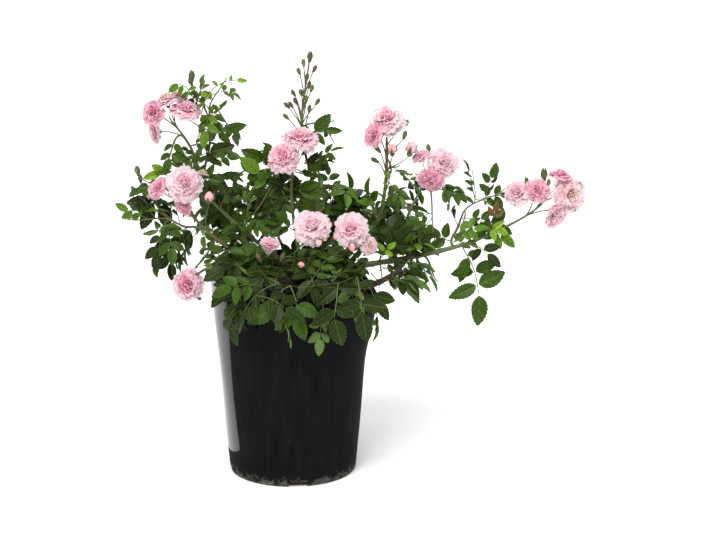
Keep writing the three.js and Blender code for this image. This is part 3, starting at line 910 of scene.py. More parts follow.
lay_leaf("front_right_skirt", "deep", [(80, -80, 222), (88, -88, 208)],
         [(1.0, (102, -92, 188)), (0.7, (108, -84, 206)), (0.6, (76, -98, 196))])
lay_leaf("front_middle_skirt", "deep", [(50, -96, 228), (48, -108, 208), (46, -113, 196)],
         [(1.0, (54, -116, 167)), (0.8, (24, -116, 190)), (0.75, (66, -112, 198)), (0.1, (31, -108, 208))])
lay_leaf("front_middle_skirt", "mid", [(2, -92, 224), (8, -104, 210), (9, -109, 199)],
         [(1.0, (16, -113, 172)), (0.7, (31, -110, 197)), (0.8, (-13, -111, 181))])
lay_leaf("front_left_skirt", "mid", [(-6, -92, 220), (-12, -102, 207)],
         [(1.0, (-41, -106, 188)), (0.5, (-24, -104, 200))])
lay_leaf("front_left_skirt", "deep", [(-44, -86, 224), (-49, -95, 209)],
         [(1.0, (-64, -100, 190)), (0.8, (-49, -104, 189)), (0.5, (-70, -94, 210))])

# these lie over the rim with their faces to the sky, in the deep tint as painted shade
over_rim = (0, -0.8, 0.7)
lay_leaf("front_left_leaves", "deep", [(-38, -58, 238), (-52, -66, 240), (-64, -70, 236)],
         [(1.0, (-88, -74, 226)), (0.7, (-72, -80, 250)), (0.6, (-58, -84, 222)),
          (0.3, (-44, -80, 250))], over_rim)
lay_leaf("front_left_skirt", "deep", [(-48, -70, 224), (-60, -80, 217)],
         [(1.0, (-80, -86, 201)), (0.6, (-60, -92, 203)), (0.4, (-77, -76, 222))], over_rim)
lay_leaf("front_left_leaves", "deep", [(-20, -66, 236), (-24, -80, 231), (-27, -88, 224)],
         [(1.0, (-36, -98, 207)), (0.7, (-4, -95, 216)), (0.7, (-49, -93, 219)), (0.25, (-4, -86, 234)),
          (0.25, (-42, -86, 237))], over_rim)
lay_leaf("front_right_leaves", "deep", [(18, -70, 236), (24, -84, 228), (26, -90, 222)],
         [(1.0, (30, -101, 204)), (0.7, (8, -96, 213)), (0.7, (46, -94, 216)), (0.25, (4, -88, 231)),
          (0.25, (42, -86, 236))], over_rim)
lay_leaf("front_right_leaves", "deep", [(52, -66, 236), (60, -78, 232)],
         [(1.0, (72, -92, 220)), (0.6, (44, -90, 223)), (0.5, (74, -82, 240))], over_rim)

# these stand up again
lay_leaf("centre_left_leaves", "deep", [(-4, 6, 300), (-7, 0, 310)],
         [(1.0, (-9, -6, 330)), (0.7, (-24, -6, 316)), (0.7, (10, -6, 314)), (0.2, (-20, -6, 298)),
          (0.2, (10, -5, 297))])
lay_leaf("right_outer_leaves", "bronze", [(209, -4, 270), (213, -6, 280)],
         [(1.0, (215, -8, 293)), (0.6, (206, -8, 287)), (0.6, (222, -6, 283))])
lay_leaf("top_left_leaves", "lime",
         [(-98, 0, 351), (-93, 0, 368), (-89, 0, 394), (-80, 0, 409), (-67, 0, 417), (-55, 0, 419)],
         [(1.0, (-44, -2, 418)), (0.93, (-60, -3, 424)), (0.83, (-71, -4, 411)), (0.78, (-80, -2, 418)),
          (0.66, (-82, -4, 399)), (0.62, (-94, -2, 404))])
lay_leaf("top_left_leaves", "fresh", [(-101, 0, 402), (-107, -2, 412), (-114, -2, 415)],
         [(1.0, (-125, -4, 407)), (0.75, (-114, -6, 404)), (0.4, (-96, -2, 412)), (0.3, (-112, -2, 400))])
lay_leaf("upper_left_leaves", "mid", [(-88, 2, 352), (-80, 2, 361), (-66, 0, 366)],
         [(1.0, (-46, -3, 373)), (0.62, (-76, -3, 377)), (0.62, (-62, -4, 354))])
lay_leaf("upper_left_leaves", "deep", [(-93, 3, 340), (-85, 0, 343)],
         [(1.0, (-58, -4, 351)), (0.6, (-74, -5, 331))])
lay_leaf("left_shoulder_leaves", "lime", [(-120, 4, 314), (-135, 3, 321)],
         [(1.0, (-154, 0, 316)), (0.7, (-143, -3, 331))])
lay_leaf("left_low_leaves", "deep", [(-106, -8, 266), (-117, -12, 261), (-126, -12, 256)],
         [(1.0, (-143, -15, 234)), (0.75, (-117, -17, 241)), (0.7, (-136, -8, 266)), (0.2, (-104, -16, 245))])
lay_leaf("centre_shoulder_leaves", "mid", [(-14, 6, 321), (-26, 6, 334)],
         [(1.0, (-51, 2, 345)), (0.6, (-25, 2, 352)), (0.3, (-30, 0, 318))])
lay_leaf("centre_shoulder_leaves", "fresh", [(-16, 2, 314), (-32, 0, 321)],
         [(1.0, (-52, -3, 339)), (0.6, (-38, -5, 306))])
lay_leaf("centre_top_leaves", "mid", [(17, 10, 352), (24, 8, 362), (36, 6, 366)],
         [(1.0, (53, 3, 365)), (0.55, (41, 3, 382)), (0.5, (36, 2, 352)), (0.2, (12, 4, 372))])
lay_leaf("centre_top_leaves", "deep", [(14, 8, 330), (22, 6, 330)],
         [(1.0, (40, 2, 326)), (0.6, (28, 2, 342))])
lay_leaf("centre_left_leaves", "deep", [(-7, 14, 221), (0, 12, 232), (9, 10, 239)],
         [(1.0, (28, 8, 237)), (0.7, (5, 8, 250)), (0.6, (17, 6, 228)), (0.4, (-10, 8, 244))])
lay_leaf("centre_left_leaves", "mid", [(38, 14, 221), (46, 12, 230)],
         [(1.0, (65, 8, 234)), (0.8, (52, 8, 247)), (0.5, (57, 6, 224)), (0.6, (33, 8, 238))])
lay_leaf("left_middle_leaves", "deep", [(-32, 10, 222), (-31, 6, 236)],
         [(1.0, (-31, 2, 253)), (0.8, (-45, 2, 243)), (0.7, (-16, 2, 246)), (0.3, (-45, 0, 228))])
lay_leaf("centre_top_leaves", "mid", [(9, 8, 320), (16, 4, 326)],
         [(1.0, (33, 0, 328)), (0.5, (24, 0, 318))])
lay_leaf("centre_left_leaves", "mid", [(1, 10, 295), (9, 4, 305)],
         [(1.0, (29, 0, 311)), (0.7, (4, 0, 319)), (0.6, (17, -3, 292)), (0.9, (33, -2, 298))])
lay_leaf("left_leaves", "deep", [(-126, 0, 289), (-136, -4, 291), (-144, -6, 291)],
         [(1.0, (-171, -8, 292)), (0.9, (-157, -10, 263)), (0.4, (-129, -10, 264))])
lay_leaf("right_centre_leaves", "mid", [(165, 0, 249), (158, -4, 254)],
         [(1.0, (137, -8, 265)), (0.6, (163, -6, 269)), (0.5, (144, -8, 244))])
lay_leaf("right_inner_leaves", "mid", [(112, 0, 259), (118, -6, 266)],
         [(1.0, (137, -8, 268)), (0.7, (122, -10, 243)), (0.7, (103, -8, 273))])
lay_leaf("upper_left_leaves", "mid", [(-90, 4, 312), (-86, 0, 318)],
         [(1.0, (-80, -3, 331)), (0.7, (-68, -3, 312)), (0.6, (-91, -3, 299))])
lay_leaf("right_inner_leaves", "lime", [(94, -22, 240), (100, -27, 247)],
         [(1.0, (109, -30, 254)), (0.6, (91, -29, 253)), (0.6, (106, -29, 240))])

for node in leaf_masses:
    if node != "right_hanging_leaves":
        clothe(node)

# leaflet shapes: an egg-shaped toothed blade, folded along its rib, with a second skin for its underside
def leaflet_shape(name, breadth, fold, recurve, wave, teeth=8):
    """A closed leaflet one unit long on +Y, its upper face towards +Z; part 0 upper, 1 under, 2 rib."""
    def half(t):
        return breadth * math.sin(math.pi * t ** 0.82) ** 0.72 if 0 < t < 1 else 0.0

    def lift(x, t):
        return fold * abs(x) - recurve * t * t + wave * math.sin(9 * t + 2) * abs(x) / breadth

    points, faces, parts = [], [], []

    def add(x, t, sink=0.0):
        points.append((x, t, lift(x, t) - sink))
        return len(points) - 1

    rows = []
    for i in range(teeth + 1):
        t = i / teeth
        w = half(min(max(t, 0.012), 0.988))
        rib = min(0.009, 0.6 * w)
        row = {"mid": add(0, t, 0.006), "low": add(0, t, 0.03) if 0 < i < teeth else None}
        for side in (-1, 1):
            inner = i in (0, teeth)
            row["rib", side] = row["mid"] if inner else add(side * rib, t)
            row["half", side] = row["mid"] if inner else add(side * 0.55 * w, t)
            row["edge", side] = row["mid"] if inner else add(side * w * 0.94, t)
        rows.append(row)
    for i in range(teeth):
        a, b = rows[i], rows[i + 1]
        t = (i + 0.72) / teeth
        for side in (-1, 1):
            tooth = add(side * (half(t) + 0.012 * (0 < i < teeth - 1)), t + 0.01)
            tops = [([a["mid"], a["rib", side], b["rib", side], b["mid"]], 2),
                    ([a["rib", side], a["half", side], b["half", side], b["rib", side]], 0),
                    ([a["half", side], a["edge", side], tooth, b["edge", side], b["half", side]], 0),
                    ([b["low"] or b["mid"], b["edge", side], tooth, a["edge", side],
                      a["low"] or a["mid"]], 1)]
            for loop, part in tops:
                loop = [v for k, v in enumerate(loop) if v != loop[k - 1]]
                if len(set(loop)) > 2:
                    faces.append(tuple(loop if side > 0 else reversed(loop)))
                    parts.append(part)
    shape = mesh_object(name, points, faces)
    across = [p[0] / (2 * breadth) + 0.5 for p in points]
    uv = shape.data.uv_layers.new(name="blade")
    for loop in shape.data.loops:
        uv.data[loop.index].uv = (across[loop.vertex_index], points[loop.vertex_index][1])
    shape.data.attributes.new("part", "INT", "FACE").data.foreach_set("value", parts)
    shape.data.set_sharp_from_angle(angle=math.radians(50))
    return shape


def shape_set(name, shapes):
    """Template objects in a collection of their own, out of the scene's sight."""
    group = bpy.data.collections.new(name)
    for shape in shapes:
        scene.collection.objects.unlink(shape)
        group.objects.link(shape)
    return group


leaflet_shapes = shape_set("leaflets", [
    leaflet_shape("leaflet_a_flat", 0.29, 0.25, 0.10, 0.010),
    leaflet_shape("leaflet_b_folded", 0.27, 0.55, 0.20, 0.006),
    leaflet_shape("leaflet_c_waved", 0.30, 0.15, 0.16, 0.030),
    leaflet_shape("leaflet_d_long", 0.24, 0.38, 0.26, 0.012)])

finish_count = 6
set_out_tree, source = new_tree(
    "shapes_set_out", Shapes=("NodeSocketCollection", None),
    **{f"Finish_{k}": ("NodeSocketMaterial", None) for k in range(finish_count)})


carried = {name: add_node(set_out_tree, "GeometryNodeInputNamedAttribute", {"Name": name},
                          data_type=kind).outputs["Attribute"]
           for name, kind in (("shape", "INT"), ("turn", "QUATERNION"), ("size", "FLOAT_VECTOR"),
                              ("part", "INT"), ("tone", "INT"))}
shapes = add_node(set_out_tree, "GeometryNodeCollectionInfo",
                  {"Collection": source["Shapes"], "Separate Children": True, "Reset Children": False})
placed_shapes = add_node(set_out_tree, "GeometryNodeInstanceOnPoints",
                         {"Points": source["Geometry"], "Instance": shapes.outputs["Instances"],
                          "Pick Instance": True, "Instance Index": carried["shape"],
                          "Rotation": carried["turn"], "Scale": carried["size"]})
real = add_node(set_out_tree, "GeometryNodeRealizeInstances",
                {"Geometry": placed_shapes.outputs["Instances"]})
which = add_node(set_out_tree, "FunctionNodeIntegerMath", {0: carried["part"], 1: carried["tone"]},
                 operation="ADD")
geometry = real.outputs["Geometry"]
for k in range(finish_count):
    picked = add_node(set_out_tree, "FunctionNodeCompare", {2: which.outputs[0], 3: k}, data_type="INT",
                      operation="EQUAL")
    geometry = add_node(set_out_tree, "GeometryNodeSetMaterial",
                        {"Geometry": geometry, "Selection": picked.outputs[0],
                         "Material": source[f"Finish {k}"]}).outputs["Geometry"]
add_node(set_out_tree, "NodeGroupOutput", {"Geometry": geometry})


def turn_to(heading, face):
    """The turn that takes +Y to a heading and +Z to a face."""
    y = heading.normalized()
    z = (face - y * face.dot(y)).normalized()
    return Matrix((y.cross(z), y, z)).transposed().to_quaternion()


def set_out(name, spots, shapes, *finishes):
    """One joined piece of shapes, each spot as (place, turn, size, shape, tone)."""
    mesh = bpy.data.meshes.new(name)
    mesh.from_pydata([s[0] for s in spots], [], [])
    for label, kind, field, values in (("turn", "QUATERNION", "value", [v for s in spots for v in s[1]]),
                                       ("size", "FLOAT_VECTOR", "vector", [v for s in spots for v in s[2]]),
                                       ("shape", "INT", "value", [s[3] for s in spots]),
                                       ("tone", "INT", "value", [s[4] for s in spots])):
        mesh.attributes.new(label, kind, "POINT").data.foreach_set(field, values)
    base = bpy.data.objects.new(name, mesh)
    scene.collection.objects.link(base)
    piece = made_by(set_out_tree, name, base, Shapes=shapes,
                    **{f"Finish_{k}": finish for k, finish in enumerate(finishes)})
    for label in ("turn", "size", "shape", "tone", "part"):
        if label in piece.data.attributes:
            piece.data.attributes.remove(piece.data.attributes[label])
    return piece


def leaf_surface(name, colour, gloss, paler):
    """Rose leaf: a firm, faintly waxy blade with sunken side veins, its colour cloudy over each spray."""
    material, tree, shader, place = new_material(name, Roughness=gloss, IOR=1.45, Specular_IOR_Level=0.16)
    cloud = add_node(tree, "ShaderNodeTexNoise",
                     {"Vector": place, "Scale": 1 / (22 * MM), "Detail": 3.0, "Roughness": 0.55})
    darker = tuple(c * 0.8 for c in srgb(colour)[:3]) + (1.0,)
    green = add_node(tree, "ShaderNodeValToRGB", {"Fac": cloud.outputs["Fac"]},
                     stops=[(0.3, darker), (0.55, srgb(colour)), (0.8, srgb(paler))])
    uv = add_node(tree, "ShaderNodeUVMap", uv_map="blade").outputs["UV"]
    split = add_node(tree, "ShaderNodeSeparateXYZ", {"Vector": uv})
    centred = add_node(tree, "ShaderNodeMath", {0: split.outputs["X"], 1: 0.5}, operation="SUBTRACT")
    out = add_node(tree, "ShaderNodeMath", {0: centred.outputs[0]}, operation="ABSOLUTE")
    sloped = add_node(tree, "ShaderNodeMath", {0: out.outputs[0], 1: -0.55, 2: split.outputs["Y"]},
                      operation="MULTIPLY_ADD")
    veins = add_node(tree, "ShaderNodeMath", {0: sloped.outputs[0], 1: 0.125}, operation="PINGPONG")
    groove = add_node(tree, "ShaderNodeValToRGB", {"Fac": veins.outputs[0]},
                      stops=[(0.0, 1.0), (0.035, 0.0)]).outputs["Color"]
    veined = add_node(tree, "ShaderNodeMix", {"Factor": groove, 6: green.outputs["Color"], 7: srgb(paler)},
                      data_type="RGBA")
    sunk = add_node(tree, "ShaderNodeBump", {"Height": groove, "Distance": -0.25 * MM, "Strength": 0.5})
    tree.links.new(veined.outputs[2], shader.inputs["Base Color"])
    tree.links.new(sunk.outputs["Normal"], shader.inputs["Normal"])
    return material


# the deep tint is partly a mature leaf's own colour and partly painted shade, darker than the leaf, for the
# front, skirt and inner foliage
tints = {
    "deep": leaf_surface("rose_leaf_mature_deep_and_painted_shade", "#1c2906", 0.40, "#263609"),
    "mid": leaf_surface("rose_leaf_mature_mid", "#2f460d", 0.38, "#3c5713"),
    "fresh": leaf_surface("rose_leaf_summer_fresh", "#4d6d1a", 0.34, "#5f8024"),
    "lime": leaf_surface("rose_leaf_young_lime", "#6a8c20", 0.36, "#80a433"),
    "bronze": leaf_surface("rose_leaf_tip_bronze", "#5c4128", 0.4, "#66592a"),
}
leaf_under = leaf_surface("rose_leaf_underside_matt", "#526e35", 0.6, "#62803f")
leaf_rib = leaf_surface("rose_leaf_midrib_pale", "#46612a", 0.45, "#537033")

for tint, finish in tints.items():
    spots, stood_for = [], set()
    for number, leaf in enumerate(leaves):
        if leaf["tint"] != tint:
            continue
        stood_for.add(leaf["mass"])
        for k, (foot, point, face, length) in enumerate(leaf["leaflets"]):
            shape = (number * 7 + k * 3) % 4
            spots.append((foot, turn_to(point, face), (length, length, length), shape, 0))
    piece = set_out("leaves_" + tint, spots, leaflet_shapes, finish, leaf_under, leaf_rib)
    finished(piece, "foliage", *sorted(stood_for))

# shoots and leaf stalks: green and thin, the shoots drifting to brown in soft patches
shoot_rind = mottled("rose_shoot_green_rind", 20 * MM, (0.35, "#4a5f28"), (0.65, "#5c4c2c"), Roughness=0.5)
stalk_rind = mottled("rose_leaf_stalk_green", 12 * MM, (0.3, "#3c501e"), (0.7, "#55602a"), Roughness=0.5)
shoots = made_by(sweep_tree, "side_shoots", line_mesh("side_shoots", shoot_lines), Sides=7,
                 Finish=shoot_rind)
finished(shoots, "green_cane")
stalks = made_by(sweep_tree, "leaf_stalks", line_mesh("leaf_stalks", stalk_lines), Sides=5,
                 Finish=stalk_rind)
finished(stalks, "foliage")


# ---- Trusses of bloom ----
# Each cane ends in a loose truss of small double blooms on thin stalks, from tight bud to full flower.
# A bloom is about seventy soft frilled petals, whorled on a green cup with five narrow sepals.

def petal_shape(name, breadth, cup, rise, recurve, frill, rows=6, columns=4):
    """A closed petal one unit long on +Y, its inner face towards +Z."""
    def skin(t, u, sink):
        width = breadth * (0.22 + 0.78 * math.sin(math.pi / 2 * min(1.0, t / 0.68)) ** 1.2)
        width *= 1 - 0.16 * max(0.0, (t - 0.7) / 0.3) ** 2
        x = u * width
        y = t * (1 - 0.15 * u * u * t) - 0.09 * math.exp(-(u / 0.2) ** 2) * t ** 6
        z = cup * x * x * 2 + rise * t * t - recurve * max(0.0, t - 0.55) ** 2 * 2
        return x, y, z + frill * math.sin(6.4 * u + 1.1) * t ** 3 - sink

    points, uvs, top, under = [], [], {}, {}
    for i in range(rows + 1):
        for j in range(columns + 1):
            t, u = i / rows, 2 * j / columns - 1
            top[i, j] = under[i, j] = len(points)
            points.append(skin(t, u, 0))
            uvs.append((j / columns, t))
            if 0 < i < rows and 0 < j < columns:
                under[i, j] = len(points)
                points.append(skin(t, u, 0.02))
                uvs.append((j / columns, t))
    faces = []
    for i in range(rows):
        for j in range(columns):
            faces.append((top[i, j], top[i, j + 1], top[i + 1, j + 1], top[i + 1, j]))
            faces.append((under[i, j], under[i + 1, j], under[i + 1, j + 1], under[i, j + 1]))
    shape = mesh_object(name, points, faces)
    layer = shape.data.uv_layers.new(name="blade")
    for loop in shape.data.loops:
        layer.data[loop.index].uv = uvs[loop.vertex_index]
    shape.data.attributes.new("part", "INT", "FACE")
    shape.data.set_sharp_from_angle(angle=math.radians(60))
    return shape


petal_shapes = shape_set("petals", [
    petal_shape("petal_a_outer", 0.36, 0.25, 0.10, 0.80, 0.055),
    petal_shape("petal_b_middle", 0.33, 0.40, 0.16, 0.55, 0.065),
    petal_shape("petal_c_inner", 0.30, 0.60, 0.22, 0.40, 0.070),
    petal_shape("petal_d_heart", 0.28, 0.70, 0.45, 0.10, 0.070)])


def petal_silk(name, blade, rim, claw="#f4ecc4"):
    """Rose petal: soft and velvety, creamy at the claw, with faint veins and a paler worn rim."""
    material, tree, shader, place = new_material(
        name, Roughness=0.7, IOR=1.4, Specular_IOR_Level=0.25, Subsurface_Weight=0.8,
        Subsurface_Scale=3 * MM, Subsurface_Radius=(1.0, 0.6, 0.75))
    uv = add_node(tree, "ShaderNodeUVMap", uv_map="blade").outputs["UV"]
    split = add_node(tree, "ShaderNodeSeparateXYZ", {"Vector": uv})
    shade = add_node(tree, "ShaderNodeValToRGB", {"Fac": split.outputs["Y"]},
                     stops=[(0.08, srgb(claw)), (0.34, srgb(blade)), (0.78, srgb(blade)), (1.0, srgb(rim))])
    cloud = add_node(tree, "ShaderNodeTexNoise",
                     {"Vector": place, "Scale": 1 / (9 * MM), "Detail": 3.0, "Roughness": 0.55})
    faded = add_node(tree, "ShaderNodeValToRGB", {"Fac": cloud.outputs["Fac"]},
                     stops=[(0.4, 0.0), (0.75, 0.3)])
    blush = add_node(tree, "ShaderNodeMix", {"Factor": faded.outputs["Color"], 6: shade.outputs["Color"],
                                             7: srgb(rim)}, data_type="RGBA")
    drawn = add_node(tree, "ShaderNodeMapping", {"Vector": uv, "Scale": (26.0, 1.5, 1.0)})
    veins = add_node(tree, "ShaderNodeTexNoise",
                     {"Vector": drawn.outputs["Vector"], "Scale": 1.0, "Detail": 2.0})
    raised = add_node(tree, "ShaderNodeBump",
                      {"Height": veins.outputs["Fac"], "Distance": 0.3 * MM, "Strength": 0.5})
    tree.links.new(blush.outputs[2], shader.inputs["Base Color"])
    tree.links.new(raised.outputs["Normal"], shader.inputs["Normal"])
    return material


petal_tones = (petal_silk("rose_petal_pale", "#ffb9cc", "#ffdfe6"),
               petal_silk("rose_petal_blush", "#ffa6c2", "#ffcfdc"),
               petal_silk("rose_petal_clear_pink", "#fc8fb5", "#ffb9ce"),
               petal_silk("rose_petal_salmon", "#f28fa4", "#f8b0be", "#f0c9b0"),
               petal_silk("rose_petal_faded_cream", "#f6e0c4", "#fad3cc"),
               petal_silk("rose_petal_deep_heart", "#e2648f", "#ec89a9"))
pale, blush, clear, salmon, cream, heart = range(6)

# whorls from the outside in: petal count, length share, opening share, shape
whorls = ((11, 1.00, 1.06, 0), (11, 0.95, 0.93, 0), (11, 0.91, 0.80, 0), (10, 0.87, 0.67, 1),
          (9, 0.83, 0.53, 1), (8, 0.80, 0.38, 2), (7, 0.76, 0.23, 3), (5, 0.72, 0.08, 3))


def bloom_petals(middle, facing, width, opening, outer, inner, dice):
    """A bloom's petals, as spots to set out, and the place where its cup joins them."""
    facing = facing.normalized()
    side = facing.orthogonal().normalized()
    lean, width = math.radians(24 + 62 * opening), width * 1.07
    foot = middle - facing * width * (0.31 - 0.2 * opening)
    spots, turn = [], dice.uniform(0, 6.3)
    for row, (count, length_share, opening_share, shape) in enumerate(whorls):
        length = 0.47 * width / max(math.sin(lean), 0.62) * length_share
        for k in range(count):
            angle = turn + 2 * math.pi * k / count + dice.uniform(-0.16, 0.16)
            radial = side * math.cos(angle) + facing.cross(side) * math.sin(angle)
            tip = lean * opening_share + dice.uniform(-0.13, 0.13)
            heading = facing * math.cos(tip) + radial * math.sin(tip)
            face = facing * math.sin(tip) - radial * math.cos(tip) + any_way(dice) * 0.16
            size = length * dice.uniform(0.84, 1.08)
            tone = outer if row < 3 or (row < 6 and dice.random() < 0.6) else inner
            start = foot + radial * width * 0.03 * (1 - row / 8) + facing * width * 0.006 * row
            sides = (size * dice.uniform(0.88, 1.1), size, size)
            spots.append((start, turn_to(heading, face), sides, shape, tone))
        turn += 2.4
    return spots, foot


def lathed(profile, segments, part):
    """Points, faces and parts of an egg turned about +Y from (radius, y) points, its ends on the axis."""
    points, faces = turned(profile, segments)
    return [(y, z, x) for x, y, z in points], faces, [part] * len(faces)


def bud_shape(name, girth, sepal_lean, sepal_length, cup=0.17, tight=True):
    """A bud one unit long on +Y over its green cup, with five sepals; part 0 green, 1 petals."""
    points, faces, parts = lathed([(0, -0.3), (cup * 0.6, -0.27), (cup, -0.14), (cup * 0.9, 0.0),
                                   (cup * 0.6, 0.04), (0, 0.05)], 8, 0)
    if girth:
        egg = lathed([(0, 0.0), (girth * 0.6, 0.06), (girth * 0.95, 0.24), (girth, 0.42),
                      (girth * 0.78, 0.65), (girth * 0.42, 0.85), (0, 0.98)], 8, 0 if tight else 1)
        faces += [tuple(i + len(points) for i in f) for f in egg[1]]
        points += egg[0]
        parts += egg[2]
    for k in range(5):
        a = 2 * math.pi * k / 5
        radial, across = Vector((math.sin(a), 0, math.cos(a))), Vector((math.cos(a), 0, -math.sin(a)))
        rows = []
        for i in range(5):
            t = i / 4
            hug = cup * 0.8 + (girth * 1.12 - cup * 0.8) * math.sin(math.pi * min(t * 0.9, 0.5))
            reach = hug if girth else cup
            out = radial * (reach * (1 - 0.7 * t * t * (not sepal_lean)) + sepal_lean * sepal_length * t)
            spot = out + Vector((0, sepal_length * t * math.cos(min(sepal_lean, 1.5)), 0))
            half = 0.13 * math.sin(math.pi * (0.25 + 0.75 * t)) + 0.004
            skin = 0.025 * (0 < i < 4)
            rows.append([len(points) + n for n in range(4)])
            points += [tuple(spot - across * half), tuple(spot + radial * skin),
                       tuple(spot + across * half), tuple(spot - radial * skin)]
        for a_row, b_row in zip(rows, rows[1:]):
            for n in range(4):
                m = (n + 1) % 4
                faces.append((a_row[n], b_row[n], b_row[m], a_row[m]))
                parts.append(0)
        faces += [tuple(rows[0]), tuple(reversed(rows[-1]))]
        parts += [0, 0]
    shape = mesh_object(name, points, faces)
    shape.data.attributes.new("part", "INT", "FACE").data.foreach_set("value", parts)
    layer = shape.data.uv_layers.new(name="blade")
    for loop in shape.data.loops:
        layer.data[loop.index].uv = (0.5, 0.3 + 0.5 * points[loop.vertex_index][1])
    shape.data.set_sharp_from_angle(angle=math.radians(60))
    return shape


bud_shapes = shape_set("buds", [
    bud_shape("bud_a_tight", 0.35, 0.0, 1.16, cup=0.25),
    bud_shape("bud_b_colour", 0.44, 0.12, 0.75, cup=0.24, tight=False),
    bud_shape("bud_c_cup_only", 0, 1.2, 0.9, cup=0.26)])

# downy sepals, matt grey-green; tight buds, the same flushed bronze by the sun; furled petals, a matt warm
# pink; and flower stalks, smooth and faintly glossy, green with a brown flush
sepal_green = mottled("rose_sepal_green_downy", 5 * MM, (0.35, "#354a1c"), (0.7, "#62703a"), Roughness=0.7)
bud_bronze = mottled("rose_bud_green_flushed", 8 * MM, (0.35, "#384820"), (0.68, "#5c422b"), Roughness=0.6)
bud_pink = mottled("rose_bud_petals_furled", 6 * MM, (0.35, "#e07c94"), (0.65, "#f0b4b6"),
                   Roughness=0.65, Specular_IOR_Level=0.25)
pedicel_rind = mottled("rose_flower_stalk_flushed", 14 * MM, (0.35, "#41592a"), (0.65, "#5f4430"),
                       Roughness=0.5)

